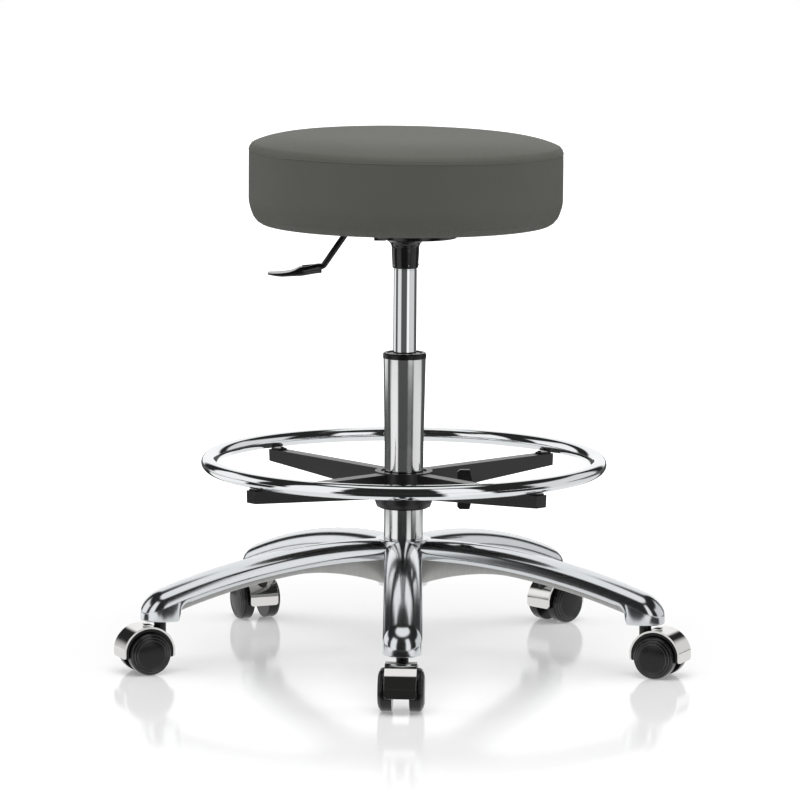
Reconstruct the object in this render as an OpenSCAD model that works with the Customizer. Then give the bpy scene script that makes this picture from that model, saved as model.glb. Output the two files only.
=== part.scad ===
/* [Seat] */
// Diameter of the cushion
seat_d = 406.4; // [380:0.2:460]
// Height of the cushion from its underside to the top of its crown
cushion_h = 115; // [90:1:140]
// Rise of the crown above the rolled shoulder
crown_h = 13.5; // [8:0.5:24]
// Height of the rolled shoulder
shoulder_h = 12; // [8:0.5:18]
// How far the rolled shoulder comes in from the side
shoulder_in = 4; // [2:0.5:8]
// How far the side draws in towards the underside
draw_in = 11; // [5:0.5:14]
// Height of the stretch over which the side draws in
draw_h = 32; // [15:1:45]
// How far the board's edge stays inside the cushion's lower edge
board_inset = 7.2; // [3:0.1:20]
// Thickness of the plywood board
board_t = 12; // [9:1:18]

/* [Seat plate] */
// Side of the square flange
plate_w = 165; // [150:1:200]
// Thickness of the pressed sheet
plate_t = 3; // [2:0.1:4]
// Radius of the flange's corners
plate_corner_r = 20; // [10:1:24]
// Depth of the pressed dish below the flange
dish_depth = 16; // [15:0.5:20]
// Radius of the dish's floor
dish_r = 54; // [50:1:56]
// How much wider the dish is at the flange than at its floor
dish_flare = 6; // [3:0.5:8]
// Distance of the dish's middle from the column's axis
dish_shift = 12; // [8:0.5:14]
// Distance between two seat bolts along a side
bolt_pitch = 124; // [120:1:130]
// Thread diameter of the seat bolts
bolt_d = 8; // [6:0.5:8]
// Width across the flats of a seat bolt's head
bolt_head_w = 13; // [10:0.5:14]
// Height of a seat bolt's head
bolt_head_h = 5.5; // [4:0.5:6.5]
// Thickness of a seat bolt's washer
washer_t = 1.5; // [1:0.1:2]
// Height of the cone socket, from its lip to the dish's floor
socket_h = 43; // [36:1:50]
// Outer diameter of the cone socket
socket_d = 35.6; // [34:0.2:38]
// How far the socket's foot flares out under the dish
socket_flare = 5; // [2:0.5:8]

/* [Height lever] */
// Diameter of the lever rod
lever_d = 8; // [6:0.5:9]
// Distance of the lever's pivot from the column's axis
pivot_reach = 33; // [28:0.5:34]
// Diameter of the pivot pin
pivot_d = 5; // [3:0.5:5]
// Distance of the rod's first bend from the column's axis
bend_reach = 72.5; // [68:0.5:90]
// Radius of the rod's first bend
lever_bend_r = 14; // [12:0.5:16]
// Slope of the rod below its first bend, in degrees
lever_slope = 55.7; // [45:0.1:65]
// How far the rod drops from its first bend to the paddle
lever_drop = 49.5; // [40:0.5:70]
// Length of the paddle
paddle_len = 71; // [60:1:90]
// Width of the paddle
paddle_w = 32; // [24:1:40]
// Height of the paddle where the rod enters it
paddle_root_h = 13.4; // [12:0.2:16]
// Height of the paddle at its outer end
paddle_tip_h = 3.6; // [3:0.2:6]
// Height of the paddle at its middle
paddle_mid_h = 9; // [6:0.5:12]
// Slope of the paddle, in degrees
paddle_slope = 5.8; // [0:0.1:12]

/* [Gas column] */
// Diameter of the column's outer tube
column_d = 50.8; // [50:0.2:54]
// Wall of the column's outer tube
column_wall = 2.5; // [2:0.1:3]
// Height of the column's rim above the top of the base
column_h = 243; // [220:1:300]
// Diameter of the outer tube at its flared top
column_top_d = 55; // [54:0.2:58]
// Height over which the outer tube flares
flare_h = 116; // [80:1:120]
// How much thinner the column is at the foot of its seat in the base
seat_taper = 1.6; // [1:0.1:2]
// Height of the black rim collar
collar_h = 7; // [5:0.5:10]
// Wall of the rim collar
collar_wall = 1.25; // [1:0.05:2]
// Diameter of the pressure tube
tube_d = 30; // [28:0.2:32]
// Wall of the pressure tube
tube_wall = 1.8; // [1.5:0.1:2.5]
// Length of pressure tube that shows between the column's rim and the cone socket
tube_show = 110; // [108:1:130]
// How far the seat can rise from this height
lift_up = 95; // [60:1:95]
// How far the seat can sink from this height
lift_down = 105; // [60:1:105]
// Diameter of the piston rod
rod_d = 10; // [8:0.5:10]
// Diameter of the piston rod's neck
rod_neck_d = 8; // [6:0.5:8]
// Height of the piston
piston_h = 12; // [8:1:16]
// Height of the rod guide and its seal
rod_guide_h = 18; // [12:1:18]
// Diameter of the release pin
release_pin_d = 6; // [5:0.5:8]
// How far the release pin stands out of the tube
pin_show = 3.2; // [3:0.1:5]
// Radius lost by the tube's cone for each unit of its height
cone_slope_share = 0.0265; // [0.02:0.0005:0.03]
// Height of the rubber bump stop
bump_h = 10; // [6:1:14]
// Thickness of a bearing race
race_t = 1.5; // [1:0.1:2]
// Diameter of a ball in the thrust bearing
ball_d = 5; // [4:0.5:6]
// Thickness of the column's bottom plate
bottom_plate_t = 4; // [3:0.5:6]

/* [Foot ring] */
// Diameter of the ring, measured to the middle of its tube
ring_d = 507.6; // [460:0.4:560]
// Diameter of the ring's tube
ring_tube_d = 19.2; // [16:0.2:25]
// Wall of the ring's tube
ring_wall = 1.5; // [1.2:0.1:2.5]
// Height of the middle of the ring's tube above the top of the base
ring_h = 99; // [80:1:120]
// Direction of the first spider arm, in degrees
arm_angle = 42; // [35:1:55]
// Width of a spider arm
arm_w = 18; // [14:0.5:20]
// Height of a spider arm at its tip
arm_tip_h = 16; // [12:0.5:20]
// Height of a spider arm at the hub
arm_root_h = 32; // [24:0.5:34]
// How far an arm's end reaches past the ring's centre line
arm_past = 6.2; // [2:0.2:12]
// Diameter of the spider's hub
spider_hub_d = 75; // [72:0.5:84]
// Height of the spider's hub
spider_hub_h = 46.6; // [42:0.2:60]
// Wall of the plastic sleeve inside the hub
sleeve_wall = 4.3; // [3:0.1:5]
// Thickness of the clips that join the ring to the arms
clip_t = 2.2; // [1.5:0.1:3]
// Width of a clip along the ring
clip_w = 30; // [24:0.5:36]
// Diameter of the clips' screws
clip_screw_d = 5; // [4:0.5:6]
// Diameter of the clamping screw
clamp_d = 8; // [6:0.5:8]
// Distance of the wing's near face from the column's axis
wing_reach = 69.8; // [66:0.1:80]
// Width of the wing along the clamping screw
wing_w = 19; // [14:0.5:22]
// Span of the wing across the clamping screw
wing_span = 52; // [40:1:54]
// Thickness of the wing
wing_t = 7; // [5:0.5:10]

/* [Base] */
// Distance of a caster's stem from the column's axis
leg_reach = 328; // [300:1:360]
// Width of a leg
leg_w = 50; // [44:0.5:54]
// Thickness of a leg's rounded top
leg_skin_t = 5; // [4:0.5:6]
// Thickness of a leg's side walls
leg_wall = 4; // [3:0.5:5]
// How far the side walls stand back from the rounded top's edge
wall_inset = 2.5; // [1.5:0.5:4]
// How far the side walls reach below the rounded top's edge
wall_drop = 5.5; // [3:0.5:10]
// Extra depth of the side walls at the hub
haunch_h = 24; // [14:1:26]
// Distance from the column's axis at which that extra depth ends
haunch_reach = 150; // [110:1:180]
// Slope of a leg at the hub, in degrees
root_slope = 3.7; // [2:0.1:6]
// Slope of a leg at its tip, in degrees
tip_slope = 21.8; // [18:0.1:26]
// Radius of the bend between the two slopes
leg_bend_r = 300; // [200:5:360]
// Length of the straight stretch at the tip
tip_run = 70; // [55:1:90]
// Diameter of the boss that holds a caster's stem
boss_d = 49; // [40:0.5:49.5]
// Height of the boss below the rounded tip
boss_h = 11.5; // [6:0.5:14]
// Diameter of the hub
hub_d = 72; // [66:1:78]
// Height of the hub
hub_h = 62; // [55:1:70]

/* [Casters] */
// Diameter of a wheel
wheel_d = 55; // [50:0.5:60]
// Width of a wheel
wheel_w = 18.6; // [16:0.2:22]
// Width of a wheel's flat tread
tread_w = 11; // [9:0.5:13]
// Distance between the two wheels
wheel_gap = 21.8; // [20:0.2:26]
// Distance of the axle behind the stem
caster_trail = 21; // [16:0.5:22]
// Height of a caster's neck above the floor
caster_h = 67.5; // [64:0.5:80]
// Diameter of the stem
stem_d = 11; // [10:0.5:12]
// Length of the stem inside the base
stem_grip = 23; // [18:1:24]
// Diameter of the axle
axle_d = 8; // [6:0.5:9]
// Thickness of the hood
hood_t = 2.5; // [1.5:0.1:3]
// Width of the hood
hood_w = 40; // [36:0.5:44]
// Clearance between the wheels and the plastic arch over them
arch_gap = 1; // [0.6:0.1:2]
// Thickness of the plastic arch under the hood
arch_t = 3.7; // [3:0.1:5]
// Height of the lower edge of the hood above the floor
hood_edge_h = 22; // [14:0.5:26]
// Height above the floor at which the hood's end plates begin
hood_crease_h = 33.5; // [30:0.5:36]
// Direction of the front caster, in degrees
front_angle = -93; // [-180:1:180]
// Direction of the right caster, in degrees
right_angle = -25; // [-180:1:180]
// Direction of the caster at the back on the right, in degrees
back_right_angle = 44; // [-180:1:180]
// Direction of the caster at the back on the left, in degrees
back_left_angle = 114; // [-180:1:180]
// Direction of the left caster, in degrees
left_angle = -157; // [-180:1:180]

/* [Hidden] */
$fn = 64;
// Radial clearance of a running fit
run_gap = 0.05;
// Clearance between surfaces that pass near each other
side_gap = 0.3;
// How far cutting shapes run past what they cut
cut = 1;

// Heights of the base and its casters
wheel_r = wheel_d / 2;
boss_gap = 0.5;
boss_z = caster_h + boss_gap;
tip_z = boss_z + boss_h;
leg_r = leg_w / 2;
hub_r = hub_d / 2;
bend_end = [leg_reach - tip_run * cos(tip_slope), tip_z + tip_run * sin(tip_slope)];
bend_mid = bend_end - leg_bend_r * [sin(tip_slope), cos(tip_slope)];
bend_start = bend_mid + leg_bend_r * [sin(root_slope), cos(root_slope)];
function leg_z(r) = r < bend_start.x
    ? bend_start.y + (bend_start.x - r) * tan(root_slope)
    : r < bend_end.x
    ? bend_mid.y + sqrt(leg_bend_r * leg_bend_r - (r - bend_mid.x) * (r - bend_mid.x))
    : tip_z + (leg_reach - r) * tan(tip_slope);
base_top = leg_z(hub_r) + leg_r / cos(root_slope);
hub_z = base_top - hub_h;
leg_count = 5;
// How much thinner the bend is than the stretches it runs into, and by what angle it laps them
bend_step = 0.1;
bend_lap = 0.2;
haunch_power_share = 1.6;
leg_root_share = 0.7;
wall_lap_share = 1.6;
wall_end_share = 0.7;
race_share = 0.7;
ball_ring_share = 0.7;
cage_depth_share = 0.5;
cage_width_share = 0.8;
washer_share = 0.62;
clamp_height_share = 0.48;
flare_foot_share = 1.4;
pin_round_share = 0.75;
pin_drop_share = 0.3;
pin_flat_share = 0.4;
clip_size_share = 0.75;
clip_slot_share = 0.6;
screw_head_share = 0.9;
screw_key_share = 0.6;
screw_top_share = 0.7;
screw_key_depth_share = 0.4;
wing_root_share = 0.7;
groove_height_share = 0.49;
leg_steps = 16;

// Outer tube of the column
column_r = column_d / 2;
column_bore_r = column_r - column_wall;
column_foot = 6;
column_lip_t = 2;
column_lip_w = 4;
column_z = hub_z - column_foot;
rim_z = base_top + column_h;
collar_lip_t = 3;
column_top_r = column_top_d / 2;
collar_r = column_top_r + collar_wall / 2;
collar_seat_r = collar_r - collar_wall;

// Thrust bearing and what stands on it
bottom_plate_z = column_z + column_lip_t;
race_z = bottom_plate_z + bottom_plate_t;
cage_z = race_z + race_t;
upper_race_z = cage_z + ball_d;
bump_z = upper_race_z + race_t;
race_r = column_bore_r * race_share;
ball_ring_r = race_r * ball_ring_share;
ball_count = 10;
bump_r = 12;

// Pressure tube, piston rod and release pin
tube_r = tube_d / 2;
tube_bore_r = tube_r - tube_wall;
bump_clear = 5;
tube_z = bump_z + bump_h + bump_clear + lift_down;
bush_clear = 2;
bush_z = tube_z + lift_up + bush_clear;
bush_sink = 1.5;
tube_lip_t = 1.5;
tube_lip_w = 1;
piston_clear = 9;
piston_z = tube_z + tube_lip_t + rod_guide_h + lift_up + piston_clear;
rod_r = rod_d / 2;
rod_neck_r = rod_neck_d / 2;
rod_foot = 3;
clip_groove_w = 1.5;
clip_groove_h = 0.6;
rod_washer_t = 1.9;
rod_washer_r = 9;
socket_z = rim_z + tube_show;
cone_show = 2;
cone_z = socket_z - cone_show;
cone_step = 0.12;
cone_rise = 0.5;
cone_top = socket_z + socket_h + cone_rise;
function cone_r(z) = tube_r - cone_step - cone_slope_share * (z - cone_z);
valve_h = 52;
pin_len = 29.7;
pin_r = release_pin_d / 2;
pin_top = cone_top + pin_show;
pin_room = 4;
pin_dome = 0.8;

// Seat plate, lever and seat
floor_top = socket_z + socket_h;
dish_z = floor_top - plate_t;
flange_z = dish_z + dish_depth;
seat_z = flange_z + plate_t;
socket_r = socket_d / 2;
socket_lip = 1.1;
socket_taper_h = 22;
lever_r = lever_d / 2;
lever_z = pin_top + side_gap + lever_r;
lever_tail = 5;
pivot_r = pivot_d / 2;
ear_gap = 0.5;
ear_t = 3;
ear_w = 14;
ear_over = 1.2;
ear_h = lever_z + pivot_r + 2 * run_gap + ear_over - floor_top;
slot_gap = 2.5;
saddle_w = 15;
saddle_h = 3.3;
saddle_len = 30;
rod_in_paddle = 27;
// How much thinner the rod's bends are than its straights, and by what angle they lap them
rod_step = 0.08;
rod_lap = 3;
lever_bend2_r = 5;
nut_flange_r = 11;
nut_flange_t = 1.5;
nut_barrel_r = 5.6;
nut_barrel_h = 9;
bolt_r = bolt_d / 2;
washer_r = bolt_head_w * washer_share;
seat_r = seat_d / 2;
board_r = seat_r - draw_in - board_inset;
crown_power_share = 6.2;
draw_power_share = 1.8;
crown_steps = 12;
side_steps = 6;
edge_roll = 2;

// Foot ring and its spider
ring_r = ring_d / 2;
ring_tube_r = ring_tube_d / 2;
ring_z = base_top + ring_h;
weld_gap = 0.2;
clip_z = ring_z - ring_tube_r - weld_gap - clip_t;
arm_top = clip_z;
hub_rise = 1.2;
spider_top = arm_top + hub_rise;
spider_z = spider_top - spider_hub_h;
spider_hub_r = spider_hub_d / 2;
spider_cone_h = 7;
spider_cone_in = 2.5;
sleeve_in_r = column_r + run_gap;
sleeve_r = sleeve_in_r + sleeve_wall;
sleeve_sink = 1.7;
sleeve_flange_t = 1.5;
sleeve_flange_w = 1.8;
sleeve_slit_w = 8;
sleeve_slit_h = 14;
arm_count = 4;
arm_reach = ring_r + arm_past;
arm_angles = [for (i = [0:arm_count - 1]) arm_angle + 360 * i / arm_count];
arm_draft = 1.5;
clip_in = 32;
clip_out = 6;
clip_screw_in = 19;
clip_screw_r = clip_screw_d / 2;
clip_head_h = 2.8;
clip_screw_len = 12;
vent_r = 2.5;
clamp_z = spider_z + spider_hub_h * clamp_height_share;
clamp_r = clamp_d / 2;
clamp_boss_r = 9;
clamp_boss_w = 14;
pad_r = 5;
pad_t = 4;
pad_room = 2;
wing_root_r = 8;
wing_root_w = 7;
wing_taper = 3;

// Casters
boss_r = boss_d / 2;
stem_r = stem_d / 2;
stem_room = 2;
stem_low = 40;
axle_r = axle_d / 2;
axle_side = 27;
axle_room = 0.5;
arch_in_r = wheel_r + arch_gap;
arch_r = arch_in_r + arch_t;
hood_in_r = arch_r + side_gap;
hood_r = hood_in_r + hood_t;
hood_corner_r = 4;
notch_gap = 0.8;
web_gap = 1.9;
web_w = wheel_gap - 2 * web_gap;
neck_r = 7.8;
hood_side_t = 0.8;
arch_w = hood_w - 2 * hood_side_t;
axle_boss_r = 9;
web_low = 3;
window_w = 13;
window_len = 11;
window_at = 17;
wheel_chamfer = 0.8;
shoulder_rise = 3;
cap_rise = 3.6;
groove_r = 21.5;
groove_w = 1;
groove_depth = 0.6;
cap_steps = 6;
corner_names = ["front", "right", "back_right", "back_left", "left"];
corner_angles = [front_angle, right_angle, back_right_angle, back_left_angle, left_angle];
function leg_angle(i) = 360 * i / leg_count - 90;

// A ring of the given radii between two heights
module tube(outer, inner, z0, z1) {
    translate([0, 0, z0]) difference() {
        cylinder(r = outer, h = z1 - z0);
        translate([0, 0, -cut]) cylinder(r = inner, h = z1 - z0 + 2 * cut);
    }
}

module rounded_square(side, r) {
    square([side - 2 * r, side], center = true);
    square([side, side - 2 * r], center = true);
    for (x = [-1, 1], y = [-1, 1])
        translate([x, y] * (side / 2 - r)) circle(r = r);
}

// Crowned round cushion with a rolled shoulder, drawn-in sides and a pocket for its board
module seat_cushion() {
    crown_r = seat_r - shoulder_in;
    crown_z = seat_z + cushion_h - crown_h;
    pocket_r = board_r + side_gap;
    pocket_z = seat_z + board_t + side_gap;
    crown = [for (i = [0:crown_steps]) let (s = sin(90 * i / crown_steps))
        [crown_r * s, crown_z + crown_h * (1 - pow(s, crown_power_share))]];
    shoulder = [for (i = [1:side_steps]) let (a = 90 * i / side_steps)
        [crown_r + shoulder_in * sin(a), crown_z - shoulder_h * (1 - cos(a))]];
    side = [for (i = [0:side_steps]) let (t = i / side_steps)
        [seat_r - draw_in * pow(t, draw_power_share), seat_z + draw_h - (draw_h - edge_roll) * t]];
    bottom = [[seat_r - draw_in - edge_roll, seat_z], [pocket_r, seat_z],
        [pocket_r, pocket_z], [0, pocket_z]];
    color("#6b6a61") rotate_extrude() polygon(concat(crown, shoulder, side, bottom));
}

// The four places of the seat bolts
module at_bolts(z) {
    for (x = [-1, 1], y = [-1, 1]) translate([x * bolt_pitch / 2, y * bolt_pitch / 2, z]) children();
}

module seat_board() {
    color("#b98e5c") difference() {
        translate([0, 0, seat_z]) cylinder(r = board_r, h = board_t);
        at_bolts(seat_z - cut) cylinder(r = nut_barrel_r + run_gap, h = board_t + 2 * cut);
        at_bolts(seat_z + board_t - nut_flange_t)
            cylinder(r = nut_flange_r + run_gap, h = nut_flange_t + cut);
    }
}

// Tee nuts sunk into the board's upper face
module seat_tee_nuts() {
    color("#a8a9a6") at_bolts(seat_z + board_t) difference() {
        union() {
            translate([0, 0, -nut_flange_t]) cylinder(r = nut_flange_r, h = nut_flange_t);
            translate([0, 0, -nut_barrel_h]) cylinder(r = nut_barrel_r, h = nut_barrel_h);
        }
        translate([0, 0, -nut_barrel_h - cut])
            cylinder(r = bolt_r + run_gap, h = nut_barrel_h + 2 * cut);
    }
}

// Square flange with a pressed dish, ears for the lever and a slot that lets it swing
module seat_plate() {
    slot_w = lever_d + 2 * slot_gap;
    color("#191a1b") difference() {
        union() {
            difference() {
                union() {
                    translate([0, 0, flange_z]) linear_extrude(plate_t)
                        rounded_square(plate_w, plate_corner_r);
                    translate([dish_shift, 0, dish_z])
                        cylinder(r1 = dish_r, r2 = dish_r + dish_flare, h = dish_depth);
                }
                translate([dish_shift, 0, dish_z + plate_t])
                    cylinder(r1 = dish_r - plate_t, r2 = dish_r + dish_flare - plate_t,
                        h = dish_depth + cut);
            }
            for (s = [-1, 1])
                translate([-pivot_reach, s * (lever_r + ear_gap + ear_t / 2), dish_z + plate_t / 2])
                    translate([-ear_w / 2, -ear_t / 2, 0])
                        cube([ear_w, ear_t, ear_h + plate_t / 2]);
            translate([-pivot_reach - saddle_w / 2, -saddle_len / 2, dish_z - saddle_h])
                cube([saddle_w, saddle_len, saddle_h + plate_t / 2]);
        }
        translate([0, 0, dish_z - cut]) cylinder(r = socket_r + run_gap, h = plate_t + 2 * cut);
        translate([-plate_w, -slot_w / 2, lever_z - lever_r - slot_gap])
            cube([plate_w - pivot_reach - ear_w / 2, slot_w, plate_w]);
        translate([-pivot_reach, 0, lever_z]) rotate([90, 0, 0])
            cylinder(r = pivot_r + run_gap, h = plate_w, center = true, $fn = 32);
        at_bolts(flange_z - cut) cylinder(r = bolt_r + run_gap, h = plate_t + 2 * cut, $fn = 32);
    }
}

module seat_bolts() {
    bolt_len = plate_t + board_t - nut_flange_t;
    color("#2a2b2c") at_bolts(flange_z) {
        cylinder(r = bolt_r, h = bolt_len, $fn = 32);
        translate([0, 0, -washer_t]) cylinder(r = washer_r, h = washer_t, $fn = 32);
        translate([0, 0, -washer_t - bolt_head_h])
            cylinder(r = bolt_head_w / 2 / cos(30), h = bolt_head_h, $fn = 6);
    }
}

// Conical socket that grips the cone of the pressure tube
module cone_socket() {
    flare_foot = dish_z - socket_flare * flare_foot_share;
    flare = [for (a = [0:18:90])
        [socket_r + socket_flare * (1 - cos(a)), flare_foot + (dish_z - flare_foot) * sin(a)]];
    bore_low = cone_r(socket_z) + run_gap;
    bore_high = cone_r(floor_top) + run_gap;
    outline = concat(
        [[bore_low, socket_z], [socket_r - 2 * socket_lip, socket_z],
         [socket_r - socket_lip, socket_z + socket_lip],
         [socket_r, socket_z + socket_taper_h]],
        flare,
        [[socket_r, dish_z], [socket_r, floor_top], [bore_high, floor_top]]);
    color("#131415") rotate_extrude() polygon(outline);
}

module lever_pin() {
    pin_side = lever_r + ear_gap + ear_t + ear_t / 2;
    color("#8f9193") translate([-pivot_reach, 0, lever_z]) rotate([90, 0, 0])
        cylinder(r = pivot_r, h = 2 * pin_side, center = true, $fn = 32);
}

// Steel rod with two bends, from above the release pin down into the paddle
bend_tangent = lever_bend_r * tan(lever_slope / 2);
paddle_at = [-bend_reach - lever_drop / tan(lever_slope), lever_z - lever_drop];
bend2_turn = lever_slope - paddle_slope;
bend2_tangent = lever_bend2_r * tan(bend2_turn / 2);
module lever_rod() {
    slant_len = lever_drop / sin(lever_slope) - bend_tangent - bend2_tangent;
    straight_len = lever_tail + bend_reach - bend_tangent;
    color("#1d1e20") difference() {
        union() {
            translate([lever_tail, 0, lever_z]) rotate([0, -90, 0])
                cylinder(r = lever_r, h = straight_len, $fn = 32);
            translate([bend_tangent - bend_reach, 0, lever_z - lever_bend_r])
                rotate([90, 0, 0]) rotate([0, 0, 90 - rod_lap])
                    rotate_extrude(angle = lever_slope + 2 * rod_lap)
                        translate([lever_bend_r, 0]) circle(r = lever_r - rod_step, $fn = 32);
            translate([-bend_reach, 0, lever_z]) rotate([0, 270 - lever_slope, 0])
                translate([0, 0, bend_tangent])
                    cylinder(r = lever_r, h = slant_len, $fn = 32);
            translate([paddle_at.x, 0, paddle_at.y]) rotate([0, 270 - paddle_slope, 0]) {
                translate([0, 0, bend2_tangent])
                    cylinder(r = lever_r, h = rod_in_paddle - bend2_tangent, $fn = 32);
                translate([lever_bend2_r, 0, bend2_tangent]) rotate([90, 0, 0])
                    rotate([0, 0, 180 - rod_lap]) rotate_extrude(angle = bend2_turn + 2 * rod_lap)
                        translate([lever_bend2_r, 0]) circle(r = lever_r - rod_step, $fn = 32);
            }
        }
        translate([-pivot_reach, 0, lever_z]) rotate([90, 0, 0])
            cylinder(r = pivot_r + run_gap, h = lever_d + 2 * cut, center = true, $fn = 32);
    }
}

// Flattened plastic grip on the end of the lever rod
paddle_root_w = lever_d * 2;
paddle_mid_share = 0.48;
paddle_tip_share = 0.86;
paddle_root_dip = 2.2;
paddle_mid_dip = 5;
paddle_tip_dip = 3;
paddle_edge_r = 1.5;
module paddle_slice(at, w, h, dip) {
    translate([-dip, 0, at]) for (y = [-1, 1], z = [-1, 1])
        translate([z * (h / 2 - paddle_edge_r), y * (w / 2 - paddle_edge_r), 0])
            cylinder(r = paddle_edge_r, h = paddle_edge_r, $fn = 16);
}
module lever_paddle() {
    root_at = bend2_tangent + side_gap;
    mid_at = paddle_len * paddle_mid_share;
    tip_at = paddle_len - paddle_edge_r;
    color("#232425") translate([paddle_at.x, 0, paddle_at.y])
        rotate([0, 270 - paddle_slope, 0]) difference() {
            union() {
                hull() {
                    paddle_slice(root_at, paddle_root_w, paddle_root_h, paddle_root_dip);
                    paddle_slice(mid_at, paddle_w, paddle_mid_h, paddle_mid_dip);
                }
                hull() {
                    paddle_slice(mid_at, paddle_w, paddle_mid_h, paddle_mid_dip);
                    paddle_slice(tip_at, paddle_w * paddle_tip_share, paddle_tip_h, paddle_tip_dip);
                }
            }
            translate([0, 0, root_at - cut])
                cylinder(r = lever_r + run_gap, h = rod_in_paddle - root_at + cut + side_gap, $fn = 32);
        }
}

// Pressure tube with a rolled lower lip, a conical top and the valve block inside it
module pressure_tube() {
    cavity_top = cone_top - valve_h;
    pin_floor = pin_top - pin_len - pin_room;
    outline = [[tube_bore_r - tube_lip_w, tube_z], [tube_r, tube_z], [tube_r, cone_z],
        [cone_r(cone_z), cone_z], [cone_r(cone_top), cone_top], [pin_r + run_gap, cone_top],
        [pin_r + run_gap, pin_floor], [0, pin_floor], [0, cavity_top],
        [tube_bore_r, cavity_top], [tube_bore_r, tube_z + tube_lip_t],
        [tube_bore_r - tube_lip_w, tube_z + tube_lip_t]];
    color("#c9ccce") rotate_extrude() polygon(outline);
}

module release_pin() {
    color("#d0d0cc") rotate_extrude($fn = 32) polygon([[0, pin_top - pin_len],
        [pin_r, pin_top - pin_len], [pin_r, pin_top - pin_dome],
        [pin_r * pin_round_share, pin_top - pin_dome * pin_drop_share],
        [pin_r * pin_flat_share, pin_top], [0, pin_top]]);
}

module rod_guide() {
    guide_z = tube_z + tube_lip_t;
    color("#3a3a3a") tube(tube_bore_r - run_gap, rod_r + run_gap, guide_z, guide_z + rod_guide_h);
}

// Rod that stands on the thrust bearing and carries the fixed piston
module piston_rod() {
    rod_low = bottom_plate_z - rod_washer_t - clip_groove_w - rod_foot;
    groove_top = bottom_plate_z - rod_washer_t;
    rivet_h = 2;
    outline = [[0, rod_low], [rod_neck_r, rod_low], [rod_neck_r, groove_top - clip_groove_w],
        [rod_neck_r - clip_groove_h, groove_top - clip_groove_w],
        [rod_neck_r - clip_groove_h, groove_top], [rod_neck_r, groove_top],
        [rod_neck_r, bump_z], [rod_r, bump_z], [rod_r, piston_z], [rod_neck_r, piston_z],
        [rod_neck_r, piston_z + piston_h], [rod_neck_r, piston_z + piston_h + rivet_h],
        [0, piston_z + piston_h + rivet_h]];
    color("#d7d9da") rotate_extrude($fn = 48) polygon(outline);
}

module piston() {
    piston_gap = 2 * run_gap;
    color("#55575a")
        tube(tube_bore_r - piston_gap, rod_neck_r + run_gap, piston_z, piston_z + piston_h);
}

// Plastic bush that guides the pressure tube in the mouth of the column
module guide_bush() {
    color("#dcdcd6")
        tube(column_bore_r - run_gap, tube_r + run_gap, bush_z, rim_z - bush_sink);
}

module rim_collar() {
    collar_z = rim_z - collar_h;
    lip_z = rim_z - collar_lip_t;
    outline = [[collar_seat_r + run_gap, collar_z], [collar_r, collar_z],
        [collar_r, rim_z - collar_wall], [collar_r - collar_wall, rim_z],
        [column_bore_r + run_gap, rim_z], [column_bore_r + run_gap, lip_z],
        [collar_seat_r + run_gap, lip_z]];
    color("#141414") rotate_extrude() polygon(outline);
}

// Outer tube: a slightly conical foot, a long straight stretch and a flared top
module column_tube() {
    foot_r = column_r - seat_taper / 2;
    flare_top = rim_z - collar_h;
    tube_top = rim_z - collar_lip_t - run_gap;
    outline = [[column_bore_r - column_lip_w, column_z], [foot_r, column_z], [foot_r, hub_z],
        [column_r, base_top], [column_r, flare_top - flare_h], [column_top_r, flare_top],
        [collar_seat_r, flare_top], [collar_seat_r, tube_top], [column_bore_r, tube_top],
        [column_bore_r, column_z + column_lip_t],
        [column_bore_r - column_lip_w, column_z + column_lip_t]];
    color("#c4c8ca") rotate_extrude() polygon(outline);
}

module bottom_plate() {
    color("#77797b")
        tube(column_bore_r - run_gap, rod_neck_r + run_gap, bottom_plate_z, race_z);
}

module lower_race() {
    color("#b9bbbd") tube(race_r, rod_neck_r + run_gap, race_z, cage_z);
}

module upper_race() {
    color("#b9bbbd") tube(race_r, rod_neck_r + run_gap, upper_race_z, bump_z);
}

// Ring of balls held by a thin cage between the races
module ball_cage() {
    cage_t = ball_d * cage_depth_share;
    ball_r = ball_d / 2 - run_gap;
    cage_w = ball_d * cage_width_share;
    color("#9b9c94") {
        tube(ball_ring_r + cage_w, ball_ring_r - cage_w, cage_z + (ball_d - cage_t) / 2,
            cage_z + (ball_d + cage_t) / 2);
        for (i = [1:ball_count]) rotate([0, 0, 360 * i / ball_count])
            translate([ball_ring_r, 0, cage_z + ball_d / 2]) sphere(r = ball_r, $fn = 24);
    }
}

module bump_stop() {
    color("#222222") tube(bump_r, rod_r + run_gap, bump_z, bump_z + bump_h);
}

// Washer and spring clip that hold the rod down on the bottom plate
module rod_clip() {
    clip_top = bottom_plate_z - rod_washer_t;
    clip_r = rod_washer_r * clip_size_share;
    slot_w = rod_neck_d * clip_slot_share;
    color("#606264") {
        tube(rod_washer_r, rod_neck_r + run_gap, clip_top + run_gap, bottom_plate_z - 2 * run_gap);
        difference() {
            tube(clip_r, rod_neck_r - clip_groove_h + run_gap, clip_top - clip_groove_w + run_gap,
                clip_top - run_gap);
            translate([0, -slot_w / 2, clip_top - clip_groove_w - cut])
                cube([clip_r + cut, slot_w, clip_groove_w + 2 * cut]);
        }
    }
}

// Hollow round foot ring with a drain hole underneath
module foot_ring() {
    color("#c9cccf") difference() {
        translate([0, 0, ring_z]) rotate_extrude($fn = 96)
            translate([ring_r, 0]) circle(r = ring_tube_r, $fn = 32);
        translate([0, 0, ring_z]) rotate_extrude($fn = 96)
            translate([ring_r, 0]) circle(r = ring_tube_r - ring_wall, $fn = 32);
        translate([0, ring_r, ring_z - ring_tube_r - cut])
            cylinder(r = vent_r, h = ring_tube_r, $fn = 24);
    }
}

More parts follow.
